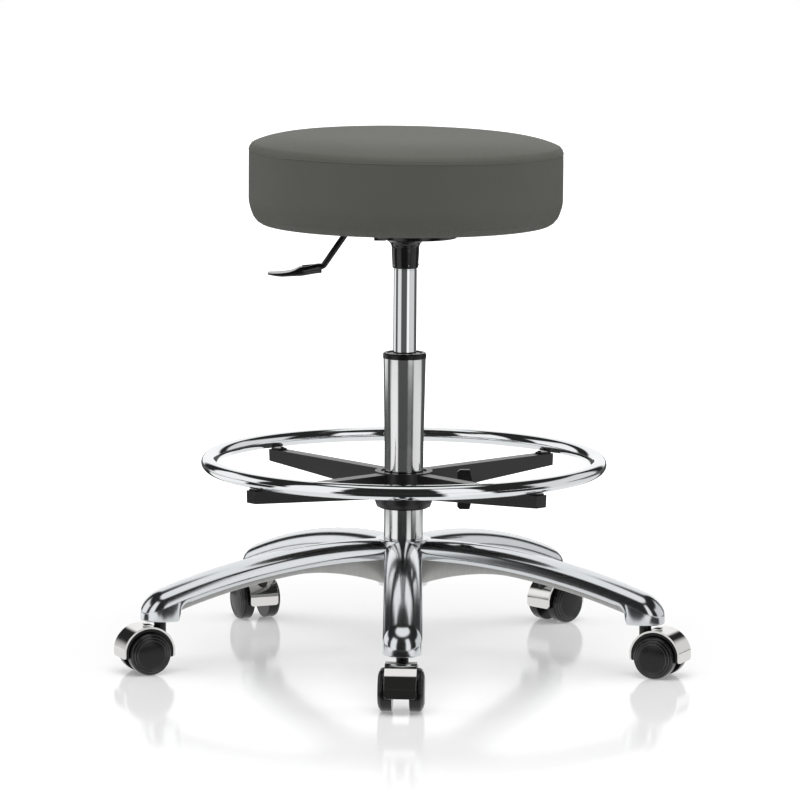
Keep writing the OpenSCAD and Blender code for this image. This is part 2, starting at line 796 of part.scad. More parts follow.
// One tapered arm along +X, narrower underneath than on top
module spider_arm() {
    root = spider_hub_r - arm_draft;
    intersection() {
        rotate([90, 0, 0]) linear_extrude(arm_w, center = true)
            polygon([[root, arm_top], [arm_reach, arm_top], [arm_reach, arm_top - arm_tip_h],
                [root, arm_top - arm_root_h]]);
        translate([0, 0, arm_top]) rotate([90, 0, 90]) linear_extrude(arm_reach + cut)
            polygon([[-arm_w / 2, 0], [arm_w / 2, 0], [arm_w / 2 - arm_draft, -arm_root_h],
                [arm_draft - arm_w / 2, -arm_root_h]]);
    }
}

module at_clip_screws(z) {
    for (a = arm_angles) rotate([0, 0, a]) translate([ring_r - clip_screw_in, 0, z]) children();
}

// Hub with four arms, a bore for the sleeve and a threaded boss for the clamping screw
module ring_spider() {
    shaft_r = sleeve_r + run_gap;
    outline = [[0, spider_z], [spider_hub_r - spider_cone_in, spider_z],
        [spider_hub_r, spider_z + spider_cone_h], [spider_hub_r, spider_top], [0, spider_top]];
    boss_len = spider_hub_r + clamp_boss_w;
    color("#232425") difference() {
        union() {
            rotate_extrude() polygon(outline);
            for (a = arm_angles) rotate([0, 0, a]) spider_arm();
            translate([0, 0, clamp_z]) rotate([0, 90, 0])
                cylinder(r = clamp_boss_r, h = boss_len, $fn = 32);
        }
        translate([0, 0, spider_z - cut]) cylinder(r = shaft_r, h = spider_hub_h + 2 * cut);
        translate([0, 0, clamp_z]) rotate([0, 90, 0]) {
            cylinder(r = clamp_r + run_gap, h = boss_len + cut, $fn = 32);
            cylinder(r = pad_r + run_gap, h = sleeve_r + side_gap + pad_t + pad_room, $fn = 32);
        }
        at_clip_screws(arm_top - clip_screw_len + clip_t)
            cylinder(r = clip_screw_r + run_gap, h = clip_screw_len, $fn = 24);
    }
}

// Flat clips welded under the ring and screwed to the arms
module ring_clips() {
    color("#2b2c2d") difference() {
        for (a = arm_angles) rotate([0, 0, a]) translate([ring_r - clip_in, -clip_w / 2, clip_z])
            cube([clip_in + clip_out, clip_w, clip_t]);
        at_clip_screws(clip_z - cut)
            cylinder(r = clip_screw_r + run_gap, h = clip_t + 2 * cut, $fn = 24);
    }
}

module clip_screws() {
    head_r = clip_screw_d * screw_head_share;
    key_w = clip_screw_d * screw_key_share;
    color("#3d3e3f") at_clip_screws(clip_z + clip_t) difference() {
        union() {
            translate([0, 0, run_gap - clip_screw_len])
                cylinder(r = clip_screw_r, h = clip_screw_len, $fn = 24);
            cylinder(r1 = head_r, r2 = head_r * screw_top_share, h = clip_head_h, $fn = 24);
        }
        translate([0, 0, clip_head_h * screw_key_depth_share])
            cylinder(r = key_w / 2 / cos(30), h = clip_head_h, $fn = 6);
    }
}

// Split plastic sleeve between the column and the spider's hub
module spider_sleeve() {
    top = spider_top - sleeve_sink;
    flange_top = spider_z - weld_gap;
    color("#1c1c1c") difference() {
        union() {
            tube(sleeve_r, sleeve_in_r, flange_top - sleeve_flange_t, top);
            tube(sleeve_r + sleeve_flange_w, sleeve_in_r, flange_top - sleeve_flange_t, flange_top);
        }
        for (a = [45:90:315]) rotate([0, 0, a])
            translate([0, -sleeve_slit_w / 2, top - sleeve_slit_h])
                cube([sleeve_r + cut, sleeve_slit_w, sleeve_slit_h + cut]);
    }
}

// What lies along the clamping screw, measured from the column's axis
module on_clamp(from) {
    translate([from, 0, clamp_z]) rotate([0, 90, 0]) children();
}
pad_from = sleeve_r + side_gap;

module clamp_pad() {
    color("#6f6f68") on_clamp(pad_from) cylinder(r = pad_r, h = pad_t, $fn = 32);
}

module clamp_screw() {
    from = pad_from + pad_t;
    color("#8f9294") on_clamp(from) cylinder(r = clamp_r, h = wing_reach - from + wing_root_w, $fn = 32);
}

// Flat wing on the clamping screw, tapered towards both ends
module clamp_wing() {
    half = wing_span / 2;
    color("#2c2d2e") difference() {
        union() {
            on_clamp(wing_reach - wing_root_w)
                cylinder(r = wing_root_r, h = wing_root_w + wing_w * wing_root_share, $fn = 32);
            translate([wing_reach, 0, clamp_z]) rotate([90, 0, 0])
                linear_extrude(wing_t, center = true)
                    polygon([[0, -half + wing_taper], [wing_taper, -half], [wing_w - wing_taper, -half],
                        [wing_w, -half + wing_taper * 4], [wing_w, half - wing_taper * 4],
                        [wing_w - wing_taper, half], [wing_taper, half], [0, half - wing_taper]]);
        }
        on_clamp(wing_reach - wing_root_w - cut)
            cylinder(r = clamp_r + run_gap, h = 2 * wing_root_w + cut, $fn = 32);
    }
}

// Section of a leg's rounded top: half a ring that is open downwards, shrunk by a small step
module leg_skin(step) {
    difference() {
        circle(r = leg_r - step);
        circle(r = leg_r - leg_skin_t - step);
        translate([-leg_w, step / 2 - leg_w]) square([2 * leg_w, leg_w]);
    }
}

// One leg along +X: rounded top, side walls and the rounded tip with its boss
module leg() {
    start = hub_r * leg_root_share;
    start_len = (bend_start.x - start) / cos(root_slope);
    wall_lap = leg_skin_t * wall_lap_share;
    wall_mid = leg_r - wall_inset - leg_wall / 2;
    wall_end = leg_reach - boss_r * wall_end_share;
    function wall_z(r) = leg_z(r) - wall_drop
        - haunch_h * pow(max(0, (haunch_reach - r) / (haunch_reach - hub_r)), haunch_power_share);
    stations = [for (i = [0:leg_steps]) start + (wall_end - start) * i / leg_steps];
    translate([start, 0, leg_z(start)]) rotate([0, root_slope, 0]) rotate([90, 0, 90])
        linear_extrude(start_len) leg_skin(0);
    translate([bend_mid.x, 0, bend_mid.y]) rotate([-90, 0, 0])
        rotate([0, 0, root_slope - bend_lap - 90])
            rotate_extrude(angle = tip_slope - root_slope + 2 * bend_lap, $fn = 180)
                translate([leg_bend_r, 0]) rotate([0, 0, -90]) leg_skin(bend_step);
    translate([bend_end.x, 0, bend_end.y]) rotate([0, tip_slope, 0]) rotate([90, 0, 90])
        linear_extrude(tip_run) leg_skin(0);
    for (s = [-1, 1]) translate([0, s * wall_mid, 0]) rotate([90, 0, 0])
        linear_extrude(leg_wall, center = true)
            polygon(concat([for (r = stations) [r, leg_z(r) + wall_lap]],
                [for (i = [leg_steps:-1:0]) [stations[i], wall_z(stations[i])]]));
    translate([leg_reach, 0, boss_z]) rotate_extrude() {
        square([boss_r, boss_h]);
        translate([0, boss_h]) intersection() {
            circle(r = boss_r);
            square(boss_r);
        }
    }
}

// Five-legged cast base with a conical bore for the column and a bore for each stem
module star_base() {
    stem_bore_top = boss_z + stem_grip + cut;
    foot_r = column_r - seat_taper / 2 + run_gap;
    top_r = column_r + run_gap;
    slope = (top_r - foot_r) / (base_top - hub_z);
    color("#b4b8ba") difference() {
        union() {
            translate([0, 0, hub_z]) cylinder(r = hub_r, h = hub_h);
            for (i = [0:leg_count - 1]) rotate([0, 0, leg_angle(i)]) leg();
        }
        translate([0, 0, base_top]) cylinder(r = 2 * hub_r, h = leg_w);
        translate([0, 0, hub_z - cut])
            cylinder(r1 = foot_r - slope * cut, r2 = top_r + slope * cut, h = hub_h + 2 * cut);
        for (i = [0:leg_count - 1]) rotate([0, 0, leg_angle(i)])
            translate([leg_reach, 0, boss_z - cut])
                cylinder(r = stem_r + run_gap, h = stem_bore_top - boss_z + cut, $fn = 32);
    }
}

// The place of one caster: its stem on the axis and its wheels trailing along +X
module at_corner(i) {
    rotate([0, 0, leg_angle(i)]) translate([leg_reach, 0, 0])
        rotate([0, 0, corner_angles[i] - leg_angle(i)]) children();
}

module caster_stems() {
    color("#8a8d8f") for (i = [0:leg_count - 1]) at_corner(i)
        translate([0, 0, stem_low]) cylinder(r = stem_r, h = boss_z + stem_grip - stem_low, $fn = 32);
}

// Side view of a dome that stands on straight sides
module dome_profile(r, half, edge) {
    crease = hood_crease_h - wheel_r;
    difference() {
        circle(r = r);
        translate([-2 * r, crease - 4 * r]) square([4 * r, 4 * r]);
    }
    translate([-half, edge]) square([2 * half, crease - edge]);
}

// Side view of an arch over the wheels, with straight ends below the crease
module arch_profile(outer, inner) {
    crease = hood_crease_h - wheel_r;
    edge = hood_edge_h - wheel_r;
    half = sqrt(outer * outer - crease * crease);
    difference() {
        dome_profile(outer, half, edge);
        dome_profile(inner, half - outer + inner, edge - cut);
    }
}

// Black arch and web that join the neck to the axle
module caster_body() {
    crease = hood_crease_h - wheel_r;
    color("#101112") difference() {
        union() {
            translate([caster_trail, 0, wheel_r]) rotate([90, 0, 0]) {
                linear_extrude(arch_w, center = true) arch_profile(arch_r, arch_in_r);
                linear_extrude(web_w, center = true) {
                    difference() {
                        circle(r = arch_r - arch_t / 2);
                        translate([-2 * arch_r, -web_low - 4 * arch_r]) square(4 * arch_r);
                    }
                    circle(r = axle_boss_r);
                }
            }
            translate([0, 0, hood_crease_h]) cylinder(r = neck_r, h = caster_h - hood_crease_h);
        }
        translate([0, 0, stem_low - stem_room])
            cylinder(r = stem_r + run_gap, h = caster_h, $fn = 32);
        translate([caster_trail, 0, wheel_r]) rotate([90, 0, 0])
            cylinder(r = axle_r + run_gap, h = hood_w, center = true, $fn = 32);
    }
}

// Sheet-metal hood clipped over the arch, with a notch round the neck and a window
module hood() {
    front_h = hood_r + wheel_r - hood_edge_h;
    color("#cdd0d2") difference() {
        intersection() {
            translate([caster_trail, 0, wheel_r]) rotate([90, 0, 0])
                linear_extrude(hood_w, center = true) arch_profile(hood_r, hood_in_r);
            translate([caster_trail - 2 * hood_r, 0, hood_edge_h]) rotate([90, 0, 90])
                linear_extrude(4 * hood_r) {
                    translate([-hood_w / 2, hood_corner_r]) square([hood_w, front_h]);
                    translate([hood_corner_r - hood_w / 2, 0])
                        square([hood_w - 2 * hood_corner_r, front_h]);
                    for (s = [-1, 1]) translate([s * (hood_w / 2 - hood_corner_r), hood_corner_r])
                        circle(r = hood_corner_r, $fn = 32);
                }
        }
        translate([0, 0, hood_crease_h]) cylinder(r = neck_r + notch_gap, h = caster_h);
        translate([window_at - window_len / 2, -window_w / 2, hood_crease_h])
            cube([window_len, window_w, caster_h]);
    }
}

module axle() {
    color("#a9acae") translate([caster_trail, 0, wheel_r]) rotate([90, 0, 0])
        cylinder(r = axle_r, h = 2 * axle_side, center = true, $fn = 32);
}

// Solid wheel with a flat tread, a rounded shoulder and a domed cap with a ring groove
module wheel(side) {
    cap_r = wheel_r - shoulder_rise;
    cap_y = wheel_w - cap_rise;
    shoulder = [for (i = [0:4]) let (a = 90 * i / 4)
        [cap_r + shoulder_rise * cos(a), tread_w + (cap_y - tread_w) * sin(a)]];
    dome = [for (i = [1:cap_steps]) let (r = cap_r * (1 - i / cap_steps))
        [r, cap_y + cap_rise * sqrt(1 - r * r / cap_r / cap_r)]];
    pocket_y = axle_side + axle_room - wheel_gap / 2;
    inside = [[0, pocket_y], [axle_r + run_gap, pocket_y],
        [axle_r + run_gap, 0], [wheel_r - wheel_chamfer, 0], [wheel_r, wheel_chamfer]];
    color("#17181a") translate([caster_trail, side * wheel_gap / 2, wheel_r])
        rotate([-90 * side, 0, 0]) difference() {
            rotate_extrude($fn = 96) polygon(concat(inside, shoulder, dome));
            tube(groove_r + groove_w, groove_r, cap_y + cap_rise * groove_height_share - groove_depth, wheel_w + cut);
        }
}

seat_cushion();
seat_board();
seat_tee_nuts();
seat_plate();
seat_bolts();
cone_socket();
lever_pin();
lever_rod();
lever_paddle();
pressure_tube();
release_pin();
rod_guide();
piston_rod();
piston();
guide_bush();
rim_collar();
column_tube();
bottom_plate();
lower_race();
ball_cage();
upper_race();
bump_stop();
rod_clip();
foot_ring();
ring_spider();
ring_clips();
clip_screws();
spider_sleeve();
clamp_pad();
clamp_screw();
clamp_wing();
star_base();
caster_stems();
for (i = [0:leg_count - 1]) {
    at_corner(i) caster_body();
    at_corner(i) hood();
    at_corner(i) axle();
    at_corner(i) wheel(1);
    at_corner(i) wheel(-1);
}
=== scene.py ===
"""Swivel stool: finishes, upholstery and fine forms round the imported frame."""

import math

import bmesh
import bpy
from mathutils import Matrix, Vector
from mathutils.bvhtree import BVHTree


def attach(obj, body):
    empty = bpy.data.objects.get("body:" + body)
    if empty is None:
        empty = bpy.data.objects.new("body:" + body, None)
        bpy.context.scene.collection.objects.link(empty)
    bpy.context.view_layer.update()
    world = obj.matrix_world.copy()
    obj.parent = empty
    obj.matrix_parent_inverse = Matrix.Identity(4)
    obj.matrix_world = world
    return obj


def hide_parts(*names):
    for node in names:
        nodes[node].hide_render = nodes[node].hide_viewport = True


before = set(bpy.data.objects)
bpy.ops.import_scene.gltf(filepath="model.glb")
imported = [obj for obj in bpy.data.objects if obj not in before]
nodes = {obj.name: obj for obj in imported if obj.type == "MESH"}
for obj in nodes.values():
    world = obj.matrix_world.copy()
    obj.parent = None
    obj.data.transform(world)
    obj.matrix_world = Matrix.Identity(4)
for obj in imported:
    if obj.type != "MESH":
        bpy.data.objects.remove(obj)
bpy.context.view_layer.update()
MM = 0.001
UP = Vector((0, 0, 1))
CORNERS = ("front", "right", "back_right", "back_left", "left")
SIDES = ("a", "b")


# ---------------------------------------------------------------- shader maths
def plug(tree, slot, value):
    """Links a wire to a socket or sets the socket's number; None leaves it as it is."""
    if isinstance(value, Wire):
        tree.links.new(value.socket, slot)
    elif value is not None:
        slot.default_value = value


def reckoned(tree, operation, *values):
    """A Math node on numbers or wires."""
    made = tree.nodes.new("ShaderNodeMath")
    made.operation = operation
    for slot, value in zip(made.inputs, values):
        plug(tree, slot, value)
    return Wire(tree, made.outputs[0])


class Wire:
    """A shader socket on which Python arithmetic makes Math nodes."""

    def __init__(self, tree, socket):
        self.tree, self.socket = tree, socket

    def math(self, operation, *others): return reckoned(self.tree, operation, self, *others)
    def __add__(self, other): return self.math("ADD", other)
    def __radd__(self, other): return self.math("ADD", other)
    def __sub__(self, other): return self.math("SUBTRACT", other)
    def __rsub__(self, other): return reckoned(self.tree, "SUBTRACT", other, self)
    def __mul__(self, other): return self.math("MULTIPLY", other)
    def __rmul__(self, other): return self.math("MULTIPLY", other)
    def __abs__(self): return self.math("ABSOLUTE")


class Finish:
    """A node tree under construction: a material's, or the world's."""

    def __init__(self, owner):
        owner.use_nodes = True
        self.owner, self.tree = owner, owner.node_tree
        self.tree.nodes.clear()

    def node(self, kind, settings=None, out=0, **values):
        """Adds a node and gives its output out, or all of them. Values go to inputs by name, or by place, as i0."""
        made = self.tree.nodes.new("ShaderNode" + kind)
        for key, value in (settings or {}).items():
            setattr(made, key, value)
        for key, value in values.items():
            slot = int(key[1:]) if key[1:].isdigit() else key.replace("_", " ")
            plug(self.tree, made.inputs[slot], value)
        wires = [Wire(self.tree, socket) for socket in made.outputs]
        return wires if out == "all" else Wire(self.tree, made.outputs[out])

    def ended(self, shader, kind="Material"):
        """Joins a shader to the tree's output and returns the owner of the tree."""
        self.node("Output" + kind, out="all", i0=shader)
        return self.owner

    def surface(self, **values):
        """Ends the tree in one Principled surface."""
        return self.ended(self.node("BsdfPrincipled", **values))

    def parts(self, vector):
        """The x, y and z of a vector."""
        return self.node("SeparateXYZ", out="all", i0=vector)

    def place(self):
        """The shaded point in the piece's own object space."""
        return self.node("TexCoord", out=3)

    def noise(self, scale, detail, stretch=None):
        """Noise in the piece's own space, drawn out along an axis where stretch is small."""
        where = self.place()
        if stretch:
            where = self.node("Mapping", i0=where, Scale=stretch)
        return self.node("TexNoise", Vector=where, Scale=scale, Detail=detail)

    def cells(self, scale):
        """Distance to the nearest border in a pattern of cells."""
        return self.node("TexVoronoi", {"feature": "DISTANCE_TO_EDGE"}, Vector=self.place(), Scale=scale)

    def eased(self, wire, low, high):
        """0 at low, 1 at high, with a smooth step between."""
        return self.node("MapRange", {"interpolation_type": "SMOOTHSTEP"}, i0=wire, i1=low, i2=high)

    def band(self, wire, low, high, soft):
        """1 from low to high and 0 outside, with each border soft by that much on both sides."""
        rise = self.eased(wire, low - soft, low + soft)
        return rise * (1 - self.eased(wire, high - soft, high + soft))

    def blended(self, mask, first, second):
        """The first colour where the mask is 0 and the second where it is 1."""
        first, second = ((*c, 1) if isinstance(c, tuple) else c for c in (first, second))
        return self.node("Mix", {"data_type": "RGBA"}, out=2, i0=mask, i6=first, i7=second)

    def bump(self, height, distance, strength, over=None):
        return self.node("Bump", Strength=strength, Distance=distance, Height=height, Normal=over)

    def rounded_edges(self, radius):
        return self.node("Bevel", {"samples": 4}, Radius=radius)


def finish_named(name):
    return Finish(bpy.data.materials.new(name))


# ---------------------------------------------------------------- finishes
def vinyl():
    f = finish_named("olive_grey_vinyl")
    x, y, z = f.parts(f.place())
    grain = f.cells(900)
    colour = f.blended(f.noise(9, 2), (0.104, 0.106, 0.092), (0.117, 0.119, 0.104))
    # Darker along the borders of the grain's cells: painted shade in the grain's creases.
    colour = f.blended(f.eased(grain, 0.12, 0.0) * 0.25, colour, (0.078, 0.079, 0.068))
    turn = y.math("ARCTAN2", x)
    gathers = f.node("TexNoise", {"noise_dimensions": "1D"}, W=turn * 14, Scale=1.0, Detail=2.0)
    low_edge = f.eased(z, 0.592, 0.574)
    skin = f.bump(gathers * low_edge, 0.0022, 0.6)
    skin = f.bump(f.noise(38, 3, (1, 1, 0.35)), 0.0009, 0.35, skin)
    skin = f.bump(f.eased(grain, 0.0, 0.22), 0.00008, 0.45, skin)
    skin = f.bump(f.noise(2600, 2), 0.00003, 0.4, skin)
    return f.surface(Base_Color=colour, Roughness=f.noise(300, 2) * 0.10 + 0.56, Normal=skin,
                     Specular_IOR_Level=0.22)


def chrome(name, colour, rough, edge, streaks=None):
    f = finish_named(name)
    haze, fine = f.noise(60, 3), f.noise(1400, 2, streaks)
    tone = f.blended(haze, tuple(c * 0.97 for c in colour), colour)
    return f.surface(Base_Color=tone, Metallic=1.0, Roughness=haze * 0.02 + fine * 0.02 + rough,
                     Normal=f.bump(fine, 0.000012, 0.5, f.rounded_edges(edge)))


def polished():
    """Mirror polish on the tops of the legs and on the hub."""
    f = finish_named("polished_aluminium")
    haze = f.noise(40, 3)
    tone = f.blended(haze, (0.68, 0.705, 0.725), (0.75, 0.77, 0.785))
    return f.surface(Base_Color=tone, Metallic=1.0, Roughness=haze * 0.04 + 0.13,
                     Normal=f.bump(f.noise(500, 2), 0.000012, 0.4))


def as_cast():
    """The recessed side walls and the underside of the base, ground in upright strokes."""
    f = finish_named("ground_cast_aluminium")
    strokes, cloud = f.noise(260, 3, (1, 1, 0.12)), f.noise(70, 3)
    tone = f.blended(strokes * 0.6 + cloud * 0.4, (0.36, 0.362, 0.355), (0.60, 0.602, 0.59))
    return f.surface(Base_Color=tone, Metallic=1.0, Roughness=strokes * 0.15 + 0.33,
                     Normal=f.bump(strokes, 0.0001, 0.5))


def powder_coat():
    f = finish_named("black_powder_coat")
    speck = f.noise(1800, 3)
    tone = f.blended(f.noise(30, 2), (0.0065, 0.0065, 0.0065), (0.011, 0.011, 0.011))
    relief = f.bump(speck, 0.00008, 0.5, f.rounded_edges(0.0009))
    return f.surface(Base_Color=tone, Roughness=speck * 0.10 + 0.26, Normal=relief)


def enamel():
    f = finish_named("black_enamel")
    peel = f.noise(420, 2)
    tone = f.blended(f.noise(45, 2), (0.006, 0.006, 0.0065), (0.009, 0.009, 0.00975))
    relief = f.bump(peel, 0.00003, 0.5, f.rounded_edges(0.0006))
    return f.surface(Base_Color=tone, Roughness=peel * 0.06 + 0.12, Normal=relief)


def moulded(name, tone, rough, grain=0.00003, edge=0.0006, shine=0.5):
    f = finish_named(name)
    speck = f.noise(1500, 3)
    colour = f.blended(f.noise(25, 2), tone, tuple(min(1, c * 1.35 + 0.001) for c in tone))
    relief = f.bump(speck, grain, 0.5, f.rounded_edges(edge))
    return f.surface(Base_Color=colour, Roughness=speck * 0.08 + rough, Normal=relief,
                     Specular_IOR_Level=shine)


def zinc():
    f = finish_named("zinc_plate")
    lines = f.noise(700, 3, (1, 1, 9))
    tone = f.blended(f.noise(90, 3), (0.46, 0.47, 0.48), (0.60, 0.61, 0.62))
    return f.surface(Base_Color=tone, Metallic=1.0, Roughness=lines * 0.15 + 0.25,
                     Normal=f.bump(lines, 0.00003, 0.4))


def plywood():
    f = finish_named("birch_plywood")
    rings = f.noise(12, 4, (1, 9, 9))
    tone = f.blended(f.eased(rings, 0.35, 0.65), (0.50, 0.33, 0.17), (0.64, 0.46, 0.27))
    return f.surface(Base_Color=tone, Roughness=rings * 0.15 + 0.55, Normal=f.bump(rings, 0.0002, 0.4))


def cambric():
    f = finish_named("black_cambric")
    fibres = f.noise(1600, 4, (1, 0.3, 1))
    tone = f.blended(fibres, (0.012, 0.012, 0.012), (0.035, 0.035, 0.035))
    return f.surface(Base_Color=tone, Roughness=fibres * 0.1 + 0.82, Normal=f.bump(fibres, 0.0002, 0.6))


VINYL = vinyl()
CHROME = chrome("chrome_plate", (0.845, 0.865, 0.88), 0.02, 0.0006)
SATIN_CHROME = chrome("satin_chrome_tube", (0.80, 0.805, 0.81), 0.10, 0.0005, (1, 1, 0.03))
POLISHED = polished()
AS_CAST = as_cast()
HOOD_METAL = chrome("brushed_hood_plate", (0.80, 0.79, 0.775), 0.05, 0.0005, (1, 1, 22))
POWDER = powder_coat()
ENAMEL = enamel()
BLACK_PLASTIC = moulded("black_moulded_plastic", (0.005, 0.005, 0.005), 0.24, shine=0.35)
WING_PLASTIC = moulded("black_wing_plastic", (0.010, 0.010, 0.010), 0.24)
PADDLE_PLASTIC = moulded("black_glossy_plastic", (0.008, 0.008, 0.0085), 0.12, shine=0.6)
WHEEL_NYLON = moulded("black_wheel_nylon", (0.004, 0.0042, 0.0046), 0.17, 0.00002, 0.0004, 0.38)
WHEEL_RIM = moulded("glossy_wheel_rim", (0.006, 0.006, 0.0065), 0.06, 0.00001, 0.0003, 1.0)
PALE_ACETAL = moulded("natural_acetal", (0.62, 0.62, 0.58), 0.4)
GREY_ACETAL = moulded("grey_acetal", (0.20, 0.20, 0.20), 0.4)
RUBBER = moulded("moulded_rubber", (0.018, 0.018, 0.018), 0.6)
ZINC = zinc()
PLYWOOD = plywood()
CAMBRIC = cambric()
NODE_FINISH = {
    "seat_cushion": VINYL, "seat_board": PLYWOOD, "seat_tee_nuts": ZINC, "seat_plate": ENAMEL,
    "seat_bolts": ENAMEL, "cone_socket": ENAMEL, "lever_pin": ZINC, "lever_rod": ENAMEL,
    "lever_paddle": PADDLE_PLASTIC, "pressure_tube": CHROME, "release_pin": ZINC,
    "rod_guide": GREY_ACETAL, "piston_rod": CHROME, "piston": ZINC, "guide_bush": PALE_ACETAL,
    "rim_collar": BLACK_PLASTIC, "column_tube": SATIN_CHROME, "bottom_plate": ZINC,
    "lower_race": ZINC, "ball_cage": ZINC, "upper_race": ZINC, "bump_stop": RUBBER,
    "rod_clip": ZINC, "foot_ring": CHROME, "ring_spider": POWDER, "ring_clips": ENAMEL,
    "clip_screws": ENAMEL, "spider_sleeve": BLACK_PLASTIC, "clamp_pad": GREY_ACETAL,
    "clamp_screw": ZINC, "clamp_wing": BLACK_PLASTIC, "star_base": AS_CAST,
    "caster_stems": ZINC,
}
for corner in CORNERS:
    NODE_FINISH["caster_body_" + corner] = BLACK_PLASTIC
    NODE_FINISH["hood_" + corner] = HOOD_METAL
    NODE_FINISH["axle_" + corner] = ZINC
    NODE_FINISH["wheel_a_" + corner] = NODE_FINISH["wheel_b_" + corner] = WHEEL_NYLON
for name, finish in NODE_FINISH.items():
    mesh = nodes[name].data
    mesh.materials.clear()
    mesh.materials.append(finish)


# ---------------------------------------------------------------- forms
def turns(count):
    """Equal angles round a whole turn, in radians."""
    return [2 * math.pi * i / count for i in range(count)]


def towards(angle):
    """The level direction at an angle round Z."""
    return Vector((math.cos(angle), math.sin(angle), 0))


def piece(name, points, faces, finish, smooth=True, crisp=None):
    """A new object of points in metres, with shading split at edges sharper than crisp degrees."""
    mesh = bpy.data.meshes.new(name)
    mesh.from_pydata([tuple(p) for p in points], [], faces)
    form = bmesh.new()
    form.from_mesh(mesh)
    bmesh.ops.recalc_face_normals(form, faces=form.faces)
    for face in form.faces:
        face.smooth = smooth
    if crisp is not None:
        for edge in form.edges:
            edge.smooth = edge.is_boundary or edge.calc_face_angle(0) < math.radians(crisp)
    form.to_mesh(mesh)
    form.free()
    mesh.materials.append(finish)
    made = bpy.data.objects.new(name, mesh)
    bpy.context.scene.collection.objects.link(made)
    return made


def revolved(outline, count, closed=True):
    """Points and faces of an outline of (radius, height) in millimetres, turned round Z."""
    points, faces, rows = [], [], []
    for radius, height in outline:
        r, z = radius * MM, height * MM
        row = [(r * math.cos(a), r * math.sin(a), z) for a in turns(count)] if radius else [(0, 0, z)]
        rows.append(range(len(points), len(points) + len(row)))
        points += row
    pairs = list(zip(rows, rows[1:]))
    if closed:
        pairs.append((rows[-1], rows[0]))
    for low, high in pairs:
        for i in range(count):
            j = (i + 1) % count
            if len(low) == 1:
                faces.append((low[0], high[j], high[i]))
            elif len(high) == 1:
                faces.append((low[i], low[j], high[0]))
            else:
                faces.append((low[i], low[j], high[j], high[i]))
    return points, faces


def wrapped(start, rows, width, joined=True):
    """Faces over rows of points that run round once each, with the end rows joined or else capped."""
    faces = []
    for i in range(rows if joined else rows - 1):
        a, b = start + i * width, start + (i + 1) % rows * width
        faces += [(a + k, b + k, b + (k + 1) % width, a + (k + 1) % width) for k in range(width)]
    if not joined:
        last = start + (rows - 1) * width
        faces += [tuple(range(start, start + width)), tuple(reversed(range(last, last + width)))]
    return faces


def bead(middle, out, up, wide, high, count):
    """Points round an oval of two half widths."""
    return [middle + out * wide * math.cos(t) + up * high * math.sin(t) for t in turns(count)]


def met(tree, start, way, missed):
    """Where a ray meets a form, or the point missed if it slips between two faces."""
    return tree.ray_cast(start, way)[0] or missed


# ---------------------------------------------------------------- cushion
SEAT_Z, SEAT_R, SEAT_TOP = 572.11, 203.2, 687.11     # underside, half width and top, in mm
TUCK, TUCK_HEIGHT, TUCK_CURVE = 11, 32, 1.8          # how the side band draws in at its foot
CROWN_DROP, CROWN_R, CROWN_CURVE = 16.5, 204.7, 6.34
# middle and half sizes of the oval corner between top and side
CORNER_R, CORNER_Z, CORNER_WIDE, CORNER_HIGH = 196.4, 665.6, 6.6, 8.6
FOAM_INSET = 2.2         # mm by which the cover is drawn smaller before it is stuffed
PRESSURE, SWELL = 4.0, 0.0022                        # swell in metres, at most
VOXEL, CLOTH_STEPS = 0.005, 20
PULL = 0.92              # share of the way from the stuffed form back to the measured outline
LEAN = 0.010             # drop of the top to the right, as a share of the reach
POCKET_R, POCKET_DEEP = 185.3, 12.1                  # the board's pocket in the underside
# the seam's height and lean, how deep it sits, its waves and its half sizes, in metres
SEAM_Z, SEAM_LEAN, SEAM_SUNK, SEAM_WAVE, SEAM_WIDE, SEAM_HIGH = 0.6652, 0.0016, 0.0003, 0.0004, 0.0009, 0.0010


def cushion_radius(z):
    """Half width of the cushion's side band at a height, in millimetres."""
    share = min(1.0, max(0.0, (SEAT_Z + TUCK_HEIGHT - z) / TUCK_HEIGHT))
    return SEAT_R - TUCK * share ** TUCK_CURVE


def cushion_crown(r):
    """Height of the cushion's top at a distance from its middle."""
    return SEAT_TOP - CROWN_DROP * (r / CROWN_R) ** CROWN_CURVE


def cushion_outline():
    """The cover before it is stuffed, from the middle of its top to that of its underside."""
    crown_at = (0, 30, 60, 90, 115, 135, 152, 166, 178, 187, 193, 197.5)
    crown = [(max(0, r - FOAM_INSET), cushion_crown(r) - FOAM_INSET) for r in crown_at]
    shoulder = [(r - FOAM_INSET, z - FOAM_INSET) for r, z in ((200.4, 666.8), (202.3, 662.0), (203.0, 655.0))]
    side = [(cushion_radius(z) - FOAM_INSET, z) for z in (645, 632, 619, 606, 598, 591, 585, 580, 576)]
    low = [(cushion_radius(573.6) - 1.6, 573.6)] + [(r, SEAT_Z + 0.3) for r in (188, 150, 90, 0)]
    return crown + shoulder + side + low


def drawn_outline():
    """The measured outline from the middle of the top to the lower edge, as close points in millimetres."""
    crown = [(r, cushion_crown(r)) for r in (k * 0.5 for k in range(392))]
    corner = [(CORNER_R + CORNER_WIDE * math.sin(a), CORNER_Z + CORNER_HIGH * math.cos(a))
              for a in (math.radians(t) for t in range(6, 91, 4))]
    side = [(cushion_radius(z) - 0.15, z) for z in (663 - k * 0.5 for k in range(166))]
    return crown + corner + side


def applied(obj):
    """Puts the object's modifiers into its mesh."""
    seen = bpy.context.evaluated_depsgraph_get()
    made = bpy.data.meshes.new_from_object(obj.evaluated_get(seen), depsgraph=seen)
    obj.modifiers.clear()
    obj.data = made


